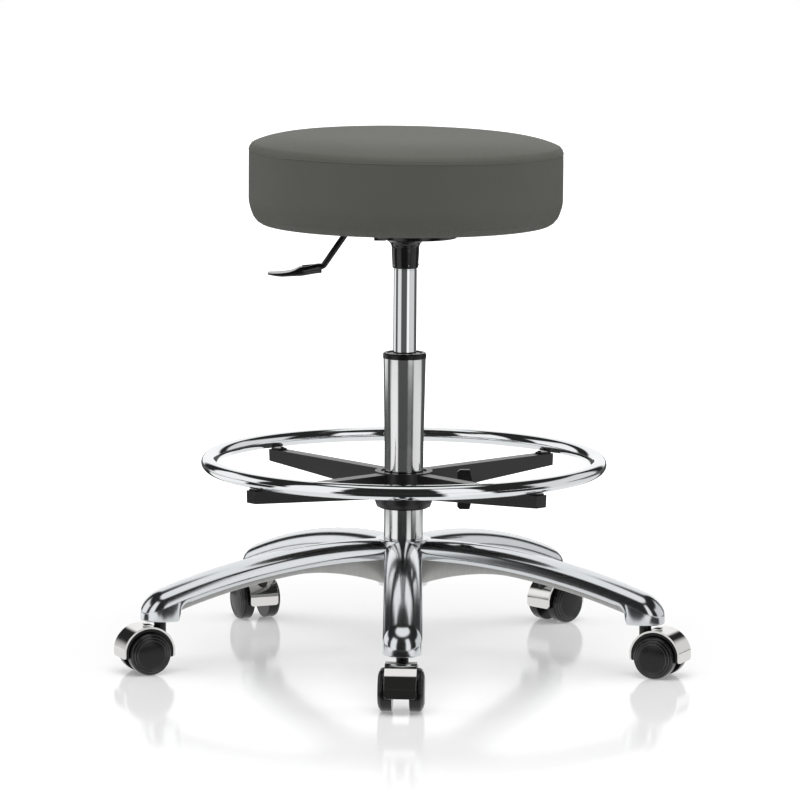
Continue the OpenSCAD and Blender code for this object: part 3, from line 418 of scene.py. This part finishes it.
def stuffed(obj):
    """Swells a closed form like a cover full of foam, with each point held near where it began."""
    remesh = obj.modifiers.new("skin", "REMESH")
    remesh.mode, remesh.voxel_size = "VOXEL", VOXEL
    applied(obj)
    start = [(v.co.copy(), v.normal.copy()) for v in obj.data.vertices]
    pinned = obj.vertex_groups.new(name="board")
    pinned.add([v.index for v in obj.data.vertices if v.co.z < (SEAT_Z + 5) * MM], 1.0, "REPLACE")
    cloth = obj.modifiers.new("cover", "CLOTH")
    cloth.settings.use_pressure, cloth.settings.uniform_pressure_force = True, PRESSURE
    cloth.settings.effector_weights.gravity = 0
    cloth.settings.tension_stiffness = cloth.settings.compression_stiffness = 30
    cloth.settings.bending_stiffness = 2
    cloth.settings.vertex_group_mass = "board"
    scene = bpy.context.scene
    for step in range(1, CLOTH_STEPS + 1):
        scene.frame_set(step)
    applied(obj)
    for vertex, (was, way) in zip(obj.data.vertices, start):
        moved = vertex.co - was
        swell = moved.dot(way)
        along = moved - way * swell
        if along.length > SWELL * 0.2:
            along = along.normalized() * SWELL * 0.2
        vertex.co = was + way * min(max(swell, SWELL * 0.5), SWELL) + along
    scene.frame_set(1)


def draw_back(form):
    """Takes the stuffed form nearly back to the measured outline and leans it."""
    ideal = drawn_outline()
    for v in form.verts:
        r, z = math.hypot(v.co.x, v.co.y) / MM, v.co.z / MM
        if z > SEAT_Z + 3:
            near = min(ideal, key=lambda p: (p[0] - r) ** 2 + (p[1] - z) ** 2)
            new_r, new_z = r + (near[0] - r) * PULL, z + (near[1] - z) * PULL
            if r > 1:
                v.co.x, v.co.y = v.co.x * new_r / r, v.co.y * new_r / r
            v.co.z = new_z * MM - LEAN * v.co.x * (new_z - SEAT_Z) / (SEAT_TOP - SEAT_Z)


def open_pocket(form):
    """Makes the pocket for the board in the middle of the underside."""
    low = [f for f in form.faces if f.calc_center_median().z < (SEAT_Z + 3.5) * MM
           and math.hypot(*f.calc_center_median().xy) < (POCKET_R - 0.8) * MM]
    bmesh.ops.delete(form, geom=low, context="FACES")
    rim = [e for e in form.edges if e.is_boundary]
    for v in {v for e in rim for v in e.verts}:
        shift = POCKET_R * MM / math.hypot(v.co.x, v.co.y)
        v.co.x, v.co.y, v.co.z = v.co.x * shift, v.co.y * shift, (SEAT_Z + 0.25) * MM
    raised = bmesh.ops.extrude_edge_only(form, edges=rim)["geom"]
    for v in (g for g in raised if isinstance(g, bmesh.types.BMVert)):
        v.co.z += POCKET_DEEP * MM
    bmesh.ops.holes_fill(form, edges=[e for e in form.edges if e.is_boundary], sides=0)


def sewn_cushion():
    """A stuffed cover on the measured outline, with a pocket for the board."""
    made = piece("cushion_cover", *revolved(cushion_outline(), 144, False), VINYL)
    stuffed(made)
    smooth = made.modifiers.new("even", "SMOOTH")
    smooth.factor, smooth.iterations = 0.5, 6
    finer = made.modifiers.new("finer", "SUBSURF")
    finer.levels = finer.render_levels = 1
    applied(made)
    form = bmesh.new()
    form.from_mesh(made.data)
    draw_back(form)
    open_pocket(form)
    bmesh.ops.recalc_face_normals(form, faces=form.faces)
    for face in form.faces:
        face.smooth = True
    form.to_mesh(made.data)
    form.free()
    made.data.materials.clear()
    made.data.materials.append(VINYL)
    return made


cushion = sewn_cushion()
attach(cushion, "seat")
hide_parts("seat_cushion")


def seam_ridge():
    """The raised line where the top panel is sewn to the side band, laid on the cushion by level rays."""
    tree = BVHTree.FromObject(cushion, bpy.context.evaluated_depsgraph_get())
    count, ring, points, ray_from, usual = 288, 8, [], 0.3, 0.2
    for angle in turns(count):
        way = towards(angle)
        axis = UP * (SEAM_Z - SEAM_LEAN * math.cos(angle))
        base = met(tree, axis + way * ray_from, -way, axis + way * usual)
        middle = base - way * SEAM_SUNK + UP * SEAM_WAVE * math.sin(angle * 3)
        points += bead(middle, way, UP, SEAM_WIDE, SEAM_HIGH, ring)
    return piece("top_seam", points, wrapped(0, count, ring), VINYL)


seam = seam_ridge()
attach(seam, "seat")

OPENING, OPENING_CORNER = 84.0, 20.0                 # half width and corner round the plate, in mm
DUST_TOP, DUST_LOW, DUST_R = 571.5, 571.15, 176.0
STAPLES, STAPLE_R, STAPLE_Z = 36, 0.1725, 0.57090    # in metres, as the half sizes below
STAPLE_LONG, STAPLE_WIDE, STAPLE_HIGH = 0.0052, 0.00055, 0.00028


def rounded_square(angle, half, corner):
    """Distance from the middle of a square with rounded corners to its border."""
    c, s, flat = abs(math.cos(angle)), abs(math.sin(angle)), half - corner
    straight = half / max(c, s)
    if min(c, s) * straight <= flat:
        return straight
    along = flat * (c + s)
    return along + math.sqrt(along * along - (2 * flat ** 2 - corner * corner))


def dust_cover():
    """Black cloth over the underside of the board, open round the plate."""
    count, points = 128, []
    for angle in turns(count):
        inner = rounded_square(angle, OPENING, OPENING_CORNER)
        for r, z in ((inner, DUST_TOP), (inner, DUST_LOW), (DUST_R, DUST_LOW), (DUST_R + 0.6, DUST_TOP)):
            points.append(towards(angle) * r * MM + UP * z * MM)
    return piece("dust_cover", points, wrapped(0, count, 4), CAMBRIC, crisp=40)


def staples():
    """The staples that hold the dust cover, in a ring near its edge."""
    points, faces = [], []
    for angle in turns(STAPLES):
        out = towards(angle + 0.03)
        side, middle, b = UP.cross(out), out * STAPLE_R + UP * STAPLE_Z, len(points)
        points += [middle + side * s * STAPLE_LONG + out * t * STAPLE_WIDE + UP * h * STAPLE_HIGH
                   for s in (-1, 1) for t in (-1, 1) for h in (-1, 1)]
        faces += [(b, b + 1, b + 3, b + 2), (b + 4, b + 6, b + 7, b + 5), (b, b + 4, b + 5, b + 1),
                  (b + 2, b + 3, b + 7, b + 6), (b, b + 2, b + 6, b + 4), (b + 1, b + 5, b + 7, b + 3)]
    return piece("staples", points, faces, ZINC, smooth=False)


def vinyl_fold():
    """The cover's edge, folded under the board and stapled to it."""
    outline = [(188.6, 573.4), (188.0, 572.4), (186.4, 571.75), (184.0, 571.6), (165.0, 571.6),
               (164.7, 571.8), (165.0, 572.04), (185.0, 572.04), (186.2, 573.4)]
    return piece("vinyl_fold", *revolved(outline, 144), VINYL, crisp=60)


for made in (dust_cover(), staples(), vinyl_fold()):
    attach(made, "seat")


# ---------------------------------------------------------------- wheels
WHEEL_RINGS = ((18.9, 0.75), (22.2, 0.95), (25.4, 0.65))     # radius and half thickness: cap, shoulder, tread


def middle_of(node):
    """The middle of a node's box."""
    return sum((Vector(p) for p in node.bound_box), Vector()) / 8


def wheel_rims(corner, side):
    """Raised rings on a wheel's outer face: its cap's edge, its shoulder and its tread's edge."""
    wheel = nodes["wheel_" + side + "_" + corner]
    other = nodes["wheel_" + ("b" if side == "a" else "a") + "_" + corner]
    middle = middle_of(wheel)
    way = (middle - middle_of(other)).normalized()
    across = way.cross(UP).normalized()
    tree = BVHTree.FromObject(wheel, bpy.context.evaluated_depsgraph_get())
    count, ring, points, faces = 72, 10, [], []
    for radius, thick in WHEEL_RINGS:
        faces += wrapped(len(points), count, ring)
        for turn in turns(count):
            out = across * math.cos(turn) + UP * math.sin(turn)
            hit = met(tree, middle + out * radius * MM + way * 0.05, -way, middle)
            points += bead(hit - way * 0.0001, out, way, thick * MM, thick * MM, ring)
    made = piece("wheel_rims_" + side + "_" + corner, points, faces, WHEEL_RIM)
    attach(made, "wheel_" + side + "_" + corner)


for corner in CORNERS:
    for side in SIDES:
        wheel_rims(corner, side)


# ---------------------------------------------------------------- under the seat
DISH_Z = 553.11                                      # underside of the plate's dish, in mm
BELL_R, BELL_WIDE, BELL_HIGH = 38, 20, 12.6
# along the grip, height of the top, of the underside, half width and depth of the hollow, in mm
BLADE = ((-0.4, 4.2, -5.8, 7.0, 0), (0.4, 5.4, -6.1, 8.0, 0), (3.3, 6.5, -6.3, 8.6, 0),
         (10.5, 5.2, -7.2, 11, 0), (17.7, 3.4, -8.4, 13.5, 0), (25, 2.8, -9.6, 15.2, 0),
         (29, 1.9, -9.9, 15.6, 0), (34, 0.2, -10.1, 15.9, 1.2), (41, -1.8, -10.3, 16, 2.2),
         (50, -3.2, -10.9, 16, 2.2), (57.5, -4.1, -10.3, 15.6, 1.8), (63, -4.6, -9.3, 14.6, 1.2),
         (67.5, -5.0, -8.5, 13, 0.6), (69.2, -5.4, -8.0, 11.6, 0.2))
BLADE_FORWARD, BLADE_DOWN = 0.6, 6.9                 # its place against the box of the CAD grip
FLAT_SIDES, FLAT_TOP = 0.55, 0.75                    # powers that square the grip's oval section
# the marks' number, distance from the axis, height, radius and first angle
PIPS, PIP_R, PIP_Z, PIP_SIZE, PIP_TURN = 5, 17.2, 518.0, 0.95, -75.5


def plate_flare():
    """The bell where the socket runs out into the plate's dish."""
    bell = [(BELL_R - BELL_WIDE * math.sin(a), DISH_Z - 0.3 - BELL_HIGH * (1 - math.cos(a)))
            for a in (math.radians(t) for t in range(0, 91, 6))]
    outline = [(18.0, DISH_Z + 0.2), (39.4, DISH_Z + 0.2), (39.6, DISH_Z - 0.2)] + bell
    return piece("plate_flare", *revolved(outline, 96), ENAMEL, crisp=50)


def lever_blade():
    """The lever's grip: a curved blade with a raised rim and a hollow top."""
    box = nodes["lever_paddle"].bound_box
    right, top = max(p[0] for p in box), max(p[2] for p in box)
    count, points = 40, []
    for along, high, low, half, hollow in BLADE:
        for t in turns(count):
            c, u = math.cos(t), math.sin(t)
            y = half * math.copysign(abs(c) ** FLAT_SIDES, c)
            z = (high + low) / 2 + (high - low) / 2 * math.copysign(abs(u) ** FLAT_TOP, u)
            if u > 0:
                z -= hollow * u ** 2
            points.append((right - (along + BLADE_FORWARD) * MM, y * MM, top + (z - BLADE_DOWN) * MM))
    return piece("lever_blade", points, wrapped(0, len(BLADE), count, False), PADDLE_PLASTIC, crisp=40)


def socket_glint_pips():
    """Small raised marks pressed into the socket near its mouth, in chrome so that they show as bright dots:
    painted glints on the black socket.
    """
    rows, width, points, faces = 7, 12, [], []
    for k in range(PIPS):
        middle = towards(math.radians(PIP_TURN + 360 / PIPS * k)) * PIP_R + UP * PIP_Z
        faces += wrapped(len(points), rows, width, False)
        for u in (math.pi * (i + 0.5) / rows for i in range(rows)):
            for w in turns(width):
                points.append((middle + (towards(w) * math.sin(u) + UP * math.cos(u)) * PIP_SIZE) * MM)
    # Chrome on the marks, though the socket is black enamel: painted glints.
    return piece("socket_glint_pips", points, faces, CHROME)


flare, blade = plate_flare(), lever_blade()
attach(socket_glint_pips(), "seat")
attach(flare, "seat")
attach(blade, "lever")
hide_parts("lever_paddle")


# ---------------------------------------------------------------- star base
LEGS, REACH, HALF, HUB_R = 5, 328.0, 25.0, 36.0      # reach of a leg's tip, half its width, the hub
TIP_Z, BOSS_Z, BOW = 79.5, 68.0, 794.6               # centre line at the tip, underside there, bow's radius
SHOULDER, SKIRT_FROM, FILLET = 6.0, 307.0, 16.0      # where a leg's top turns down round the tip
LEG_FROM, FILLET_FROM = 30, SKIRT_FROM - FILLET
TIP_BEAD, LEG_BEAD, BOSS_CORNER = 1.5, 2.6, 8        # how the lower edges are rounded
WALL, WALL_FROM, WALL_TO, WALL_DROP = 22.5, 31, 314, 5.5
ROOT_DROP, ROOT_TO, ROOT_CURVE = 24, 150, 1.6        # how the walls deepen towards the hub


def past_hub(x):
    """Distance along a leg from the hub's wall, as far as the tip."""
    return min(max(0.0, x - HUB_R), REACH - HUB_R)


def leg_line(x):
    """Height of a leg's centre line, one even bow from the hub to the tip."""
    return TIP_Z + math.sqrt(BOW ** 2 - past_hub(x) ** 2) - math.sqrt(BOW ** 2 - (REACH - HUB_R) ** 2)


def leg_crown(x):
    """Height of a leg's rounded top above its shoulder."""
    return HALF / math.cos(math.asin(past_hub(x) / BOW)) - SHOULDER


def leg_foot(x):
    """Height of the lower edge of a leg's polished top."""
    if x > SKIRT_FROM:
        return BOSS_Z
    if x > FILLET_FROM:
        share = (x - FILLET_FROM) / FILLET
        return leg_line(FILLET_FROM) - FILLET * (1 - math.sqrt(max(0.0, 1 - share * share)))
    return leg_line(x)


def half_section(x, fan=None):
    """Points of a leg's polished top from its ridge down one side, across it or fanned round its tip."""
    points, foot = [], leg_foot(x)
    tilt = math.tan(math.asin((REACH - HUB_R) / BOW))
    inset, rise = (TIP_BEAD, TIP_BEAD) if x > SKIRT_FROM or fan is not None else (LEG_BEAD, SHOULDER)

    def put(out, z):
        way = Vector((0, 1, 0)) if fan is None else towards(fan)
        points.append(Vector((x, 0, z)) + way * out)

    for k in range(17):
        turn = math.pi / 2 * (1 - k / 16)
        out = HALF * math.cos(turn)
        droop = 0.0 if fan is None else out * math.cos(fan) * tilt
        put(out, leg_line(x) + SHOULDER + leg_crown(x) * math.sin(turn) - droop)
    back = 0.0
    if x > SKIRT_FROM and fan is None:
        back = max(0.0, min(1.0, (SKIRT_FROM + BOSS_CORNER - x) / BOSS_CORNER))
    drawn = BOSS_CORNER * (1 - math.sqrt(1 - back * back))
    for turn in (math.radians(12 * k) for k in range(8)):
        put(HALF - drawn - inset * (1 - math.cos(turn)), foot + rise * (1 - math.sin(turn)))
    return points


def quilted(points, faces, rows, leg):
    """Adds a grid of rows, in millimetres and along X, at a leg's place round the hub."""
    start, width = len(points), len(rows[0])
    way = Matrix.Rotation(math.radians(360 / LEGS * leg - 90), 4, "Z")
    for row in rows:
        points += [way @ (p * MM) for p in row]
    for i in range(len(rows) - 1):
        for k in range(width - 1):
            a, b = start + i * width + k, start + (i + 1) * width + k
            faces.append((a, b, b + 1, a + 1))


def mirrored(row):
    """A row from the middle of a leg outwards, with its other side before it."""
    return [Vector((p.x, -p.y, p.z)) for p in reversed(row[1:])] + row


def leg_tops():
    """The polished tops of the legs, each rounded at its tip."""
    points, faces = [], []
    bow = [LEG_FROM + (FILLET_FROM - LEG_FROM) * i / 44 for i in range(45)]
    fillet = [FILLET_FROM + FILLET * math.sin(math.pi / 2 * k / 8) for k in range(1, 9)]
    skirt = [SKIRT_FROM + step for step in (0.02, 0.6, 1.6, 3, 5, 8, 12, 16.5)] + [REACH]
    rows = [half_section(x) for x in bow + fillet + skirt]
    rows += [half_section(REACH, math.radians(90 - 7.5 * k)) for k in range(1, 13)]
    for leg in range(LEGS):
        quilted(points, faces, [mirrored(row) for row in rows], leg)
    return piece("leg_tops", points, faces, POLISHED, crisp=48)


def wall_foot(x):
    """Height of the lower edge of a leg's side walls."""
    deeper = max(0.0, (ROOT_TO - x) / (ROOT_TO - HUB_R)) ** ROOT_CURVE
    return leg_line(x) - WALL_DROP - ROOT_DROP * deeper


def leg_walls():
    """The recessed side walls of the legs and the undersides of their tips."""
    points, faces = [], []
    rows = []
    for x in (WALL_FROM + (WALL_TO - WALL_FROM) * i / 48 for i in range(49)):
        line, foot = leg_line(x), wall_foot(x)
        side = [(0, line + 16), (18.5, line + 12), (18.5, foot + 0.9), (18.8, foot + 0.25), (19.4, foot),
                (21.6, foot), (22.2, foot + 0.25), (WALL, foot + 0.9), (WALL, line + 1.5)]
        rows.append(mirrored([Vector((x, y, z)) for y, z in side]))
    tip = Vector((REACH, 0, BOSS_Z + 0.02))
    rim, bore = ([tip + towards(a) * r for a in turns(48) + [0]] for r in (23.7, 6.2))
    for leg in range(LEGS):
        quilted(points, faces, rows, leg)
        quilted(points, faces, [rim, bore], leg)
    return piece("leg_walls", points, faces, AS_CAST, crisp=50)


def softened(outline, radius):
    """A closed outline with its corners rounded by a small radius."""
    made, steps = [], 3
    for k, corner in enumerate(outline):
        here = Vector(corner)
        before, after = Vector(outline[k - 1]) - here, Vector(outline[(k + 1) % len(outline)]) - here
        cut = min(radius / math.tan(before.angle(after) / 2), before.length * 0.45, after.length * 0.45)
        first, last = here + before.normalized() * cut, here + after.normalized() * cut
        for t in (i / steps for i in range(steps + 1)):
            made.append(tuple(first.lerp(here, t).lerp(here.lerp(last, t), t)))
    return made


def base_hub():
    """The polished outside of the base's hub."""
    outline = [(25.6, 160.0), (HUB_R, 160.0), (HUB_R, 104.0), (31.5, 99.5), (31.5, 98.3), (26.2, 98.3)]
    return piece("base_hub", *revolved(softened(outline, 1.6), 128), POLISHED, crisp=40)


for made in (leg_tops(), leg_walls(), base_hub()):
    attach(made, "base")
    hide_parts("star_base")


# ---------------------------------------------------------------- rolled edges
CLIPS, CLIP_TURN = 4, 42
CLIP_R, CLIP_SIZE = 249.5, (9, 7.5, 3)               # half length, half width and corner, in mm
SCREW_R, SCREW_SIZE = 242.9, (2.4, 2.4, 2.3)


def eased_edges(name, width, body, finish, angle=40):
    """The CAD form of a node with its sharp edges rounded."""
    form = bmesh.new()
    form.from_mesh(nodes[name].data)
    bmesh.ops.remove_doubles(form, verts=form.verts, dist=1e-6)
    bmesh.ops.dissolve_limit(form, angle_limit=math.radians(0.4), verts=form.verts, edges=form.edges)
    sharp = [e for e in form.edges if e.is_manifold and e.calc_face_angle(0) > math.radians(angle)]
    bmesh.ops.bevel(form, geom=sharp, offset=width, segments=2, profile=0.5, affect="EDGES",
                    clamp_overlap=True)
    mesh = bpy.data.meshes.new(name + "_edged")
    for face in form.faces:
        face.smooth = True
    for edge in form.edges:
        edge.smooth = edge.calc_face_angle(0) < math.radians(36)
    form.to_mesh(mesh)
    form.free()
    mesh.materials.append(finish)
    made = bpy.data.objects.new(name + "_edged", mesh)
    bpy.context.scene.collection.objects.link(made)
    even = made.modifiers.new("even", "WEIGHTED_NORMAL")
    even.keep_sharp = True
    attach(made, body)
    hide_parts(name)


def rounded_box(points, faces, centre, angle, size, levels):
    """Adds a plate with rounded corners; levels are (height, how far the outline is drawn in)."""
    half_long, half_wide, corner = size
    way, count = Matrix.Rotation(angle, 2), 40
    faces += wrapped(len(points), len(levels), count, False)
    for z, inset in levels:
        for a in (2 * math.pi * (k + 0.5) / count for k in range(count)):
            x = math.copysign(half_long - corner, math.cos(a)) + (corner - inset) * math.cos(a)
            y = math.copysign(half_wide - corner, math.sin(a)) + (corner - inset) * math.sin(a)
            spot = centre + way @ Vector((x, y))
            points.append((spot.x * MM, spot.y * MM, z * MM))


def arm_clips():
    """The clips between the arms and the ring, each with the head of its screw."""
    points, faces = [], []
    heights = [v.co.z / MM for v in nodes["ring_clips"].data.vertices]
    low, high = min(heights), max(heights)
    plate = ((low, 0.5), (low + 0.5, 0), (high - 0.5, 0), (high, 0.5))
    head = ((high, 0), (high + 1.3, 0), (high + 1.9, 0.8))
    for k in range(CLIPS):
        angle = math.radians(CLIP_TURN + 360 / CLIPS * k)
        way = towards(angle).xy
        rounded_box(points, faces, way * CLIP_R, angle, CLIP_SIZE, plate)
        rounded_box(points, faces, way * SCREW_R, angle, SCREW_SIZE, head)
    return piece("arm_clips", points, faces, ENAMEL, crisp=50)


clips = arm_clips()
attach(clips, "ring")
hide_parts("ring_clips", "clip_screws")
for corner in CORNERS:
    eased_edges("hood_" + corner, 0.0016, "caster_" + corner, HOOD_METAL)
    for side in SIDES:
        wheel = "wheel_" + side + "_" + corner
        eased_edges(wheel, 0.0009, wheel, WHEEL_NYLON, 25)
eased_edges("ring_spider", 0.0028, "ring", POWDER)
eased_edges("clamp_wing", 0.0008, "wing", WING_PLASTIC)
nodes["foot_ring"].visible_glossy = False    # the photo's column shows no reflection of the ring


# ---------------------------------------------------------------- studio
# Azimuths are in degrees round the stool, 0 towards the camera and rising to its right.
# light panels as mirrors see them: from and to, softness, top in degrees above the floor, brightness
PANELS = ((-135, -90, 2.5, 32, 1.0), (-69, -35, 2.5, 52, 1.0), (20, 45, 2.5, 55, 1.0), (79, 140, 4, 32, 0.75))
PANEL_DARK, PANEL_SOFT_TOP = 0.022, 4
BACK_FROM, BACK_TO = 152, 160                        # the white wall behind the stool
ZENITH_FROM, ZENITH_TO = 64, 70
# painted light bands on the floor, as the column and, farther out, the pressure tube mirror them
COLUMN_BANDS = ((-84, -36, 3, 0.95), (53, 112, 3, 0.80))
TUBE_BANDS = ((-138, -104, 4, 0.85), (-76, -38, 4, 0.72), (20, 44, 4, 1.0), (46, 104, 4, 0.60))
COLUMN_DARK, TUBE_DARK = 0.085, 0.10
UNDER_STOOL = 0.86                                   # brightness of the floor below the stool, in mirrors
# distances from the column, in metres, over which one look of the floor gives way to the next
TO_TUBE, TO_COLUMN, TO_PANELS, TO_PANELS_IN_FRONT = (2.25, 2.5), (1.0, 1.5), (0.54, 0.62), (0.385, 0.41)
FRONT = (22, 34)                                     # azimuths up to which the last one holds
AMBIENT, AMBIENT_RISE = 0.30, 0.04                   # light on matte surfaces and its rise to the zenith
GLOW, GLOW_RISE, GLOW_OVER, FLOOR_GLOSS = 0.29, 0.95, (0.5, 1.5), 0.27


def panels(f, azimuth, height=None):
    """Light panels and dark gaps by azimuth and, above the floor, by height."""
    seen = PANEL_DARK
    for low, high, soft, top, level in PANELS:
        panel = f.band(azimuth, low, high, soft) * level
        if height is not None:
            panel = panel * (1 - f.eased(height, top - PANEL_SOFT_TOP, top + PANEL_SOFT_TOP))
        seen = panel + seen
    return seen + f.eased(abs(azimuth), BACK_FROM, BACK_TO)


def striped(f, azimuth, bands, dark):
    """Light bands on a dark ground, by azimuth."""
    seen = dark
    for low, high, soft, level in bands:
        seen = f.band(azimuth, low, high, soft) * level + seen
    return seen


def azimuth_of(x, y):
    return x.math("ARCTAN2", y * -1) * (180 / math.pi)


def light_world():
    """Panels up to a light zenith for mirrors, a soft light for all else and white for the camera."""
    world = bpy.data.worlds.new("studio")
    bpy.context.scene.world = world
    f = Finish(world)
    x, y, z = f.parts(f.node("TexCoord", out=0))
    height = z.math("ARCSINE") * (180 / math.pi)
    zenith = f.eased(height, ZENITH_FROM, ZENITH_TO)
    seen = panels(f, azimuth_of(x, y), height) * (1 - zenith) + zenith
    camera, glossy = f.node("LightPath", out="Is Camera Ray"), f.node("LightPath", out="Is Glossy Ray")
    soft = f.eased(z, -0.1, 0.9) * AMBIENT_RISE + AMBIENT
    strength = camera + (1 - camera) * (glossy * seen + (1 - glossy) * soft)
    f.ended(f.node("Background", Color=(1, 1, 1, 1), Strength=strength), "World")


def floor_finish():
    """White with a soft gloss for the camera; for mirrors the floor glows with painted light bands and dark gaps in
    place of the studio's panels.
    """
    f = finish_named("glossy_white_floor")
    x, y, z = f.parts(f.node("NewGeometry", out=0))
    azimuth, reach = azimuth_of(x, y), (x * x + y * y).math("SQRT")
    far, middle = f.eased(reach, *TO_TUBE), f.eased(reach, *TO_COLUMN)
    upright = striped(f, azimuth, COLUMN_BANDS, COLUMN_DARK) * (1 - far) \
        + striped(f, azimuth, TUBE_BANDS, TUBE_DARK) * far
    near_front = f.eased(reach, *TO_PANELS_IN_FRONT) * (1 - f.eased(abs(azimuth), *FRONT))
    outer = f.eased(reach, *TO_PANELS).math("MAXIMUM", near_front)
    seen = (upright * middle + panels(f, azimuth) * (1 - middle)) * outer + (1 - outer) * UNDER_STOOL
    camera, glossy = f.node("LightPath", out="Is Camera Ray"), f.node("LightPath", out="Is Glossy Ray")
    matte = f.node("BsdfDiffuse", Color=(0.95, 0.95, 0.95, 1))
    # Painted light: for glossy rays the floor glows with the bands, the panels and the brightness under the stool.
    floor_glow_for_mirrors = f.node("Emission", Color=(1, 1, 1, 1), Strength=seen)
    lit = f.node("BsdfDiffuse", Color=(0.80, 0.80, 0.80, 1))
    glow = f.node("Emission", Color=(1, 1, 1, 1), Strength=f.eased(reach, *GLOW_OVER) * GLOW_RISE + GLOW)
    gloss = f.node("BsdfGlossy", Color=(1, 1, 1, 1), Roughness=0.10)
    off_camera = f.node("MixShader", i0=glossy, i1=matte, i2=floor_glow_for_mirrors)
    shown = f.node("MixShader", i0=FLOOR_GLOSS, i1=f.node("AddShader", i0=lit, i1=glow), i2=gloss)
    return f.ended(f.node("MixShader", i0=camera, i1=off_camera, i2=shown))


FLOOR = 14                                           # half width, in metres
floor = piece("floor", [(-FLOOR, -FLOOR, 0), (FLOOR, -FLOOR, 0), (FLOOR, FLOOR, 0), (-FLOOR, FLOOR, 0)],
              [(0, 1, 2, 3)], floor_finish(), smooth=False)
light_world()


def soft_lamp(name, place, size, power):
    """A square lamp aimed at the stool, which mirrors don't see."""
    lamp = bpy.data.lights.new(name, "AREA")
    lamp.shape, lamp.size, lamp.energy = "SQUARE", size, power
    made = bpy.data.objects.new(name, lamp)
    made.location = place
    made.rotation_mode = "QUATERNION"
    made.rotation_quaternion = (UP * 0.4 - Vector(place)).to_track_quat("-Z", "Y")
    made.visible_glossy = False
    bpy.context.scene.collection.objects.link(made)


soft_lamp("overhead_lamp", (0.0, -0.9, 3.2), 3.0, 70)
soft_lamp("left_lamp", (-2.7, 0.3, 1.7), 1.6, 17)
soft_lamp("right_lamp", (2.7, 0.3, 1.7), 1.6, 20)

CAMERA_AT, CAMERA_TURNS = (0, -6.4324, 1.2412), (7.97, 0.42, -0.05)    # pitch, roll and yaw, in degrees
PHOTO_FOCAL, PHOTO_WIDTH, SENSOR = 5004.4, 800, 36.0                   # the first two in pixels


def photo_camera():
    """The camera as it was fitted to the photo."""
    pitch, roll, yaw = (math.radians(a) for a in CAMERA_TURNS)
    ahead = Vector((math.sin(yaw) * math.cos(pitch), math.cos(yaw) * math.cos(pitch), -math.sin(pitch)))
    right = ahead.cross(UP).normalized()
    up = right.cross(ahead)
    across = right * math.cos(roll) + up * math.sin(roll)
    upward = up * math.cos(roll) - right * math.sin(roll)
    data = bpy.data.cameras.new("photo_camera")
    data.sensor_width, data.lens = SENSOR, SENSOR * PHOTO_FOCAL / PHOTO_WIDTH
    data.clip_start, data.clip_end = 0.1, 60
    made = bpy.data.objects.new("photo_camera", data)
    turn = Matrix((across, upward, -ahead)).transposed().to_4x4()
    made.matrix_world = Matrix.Translation(CAMERA_AT) @ turn
    bpy.context.scene.collection.objects.link(made)
    bpy.context.scene.camera = made


photo_camera()
bpy.context.scene.view_settings.view_transform = "Standard"
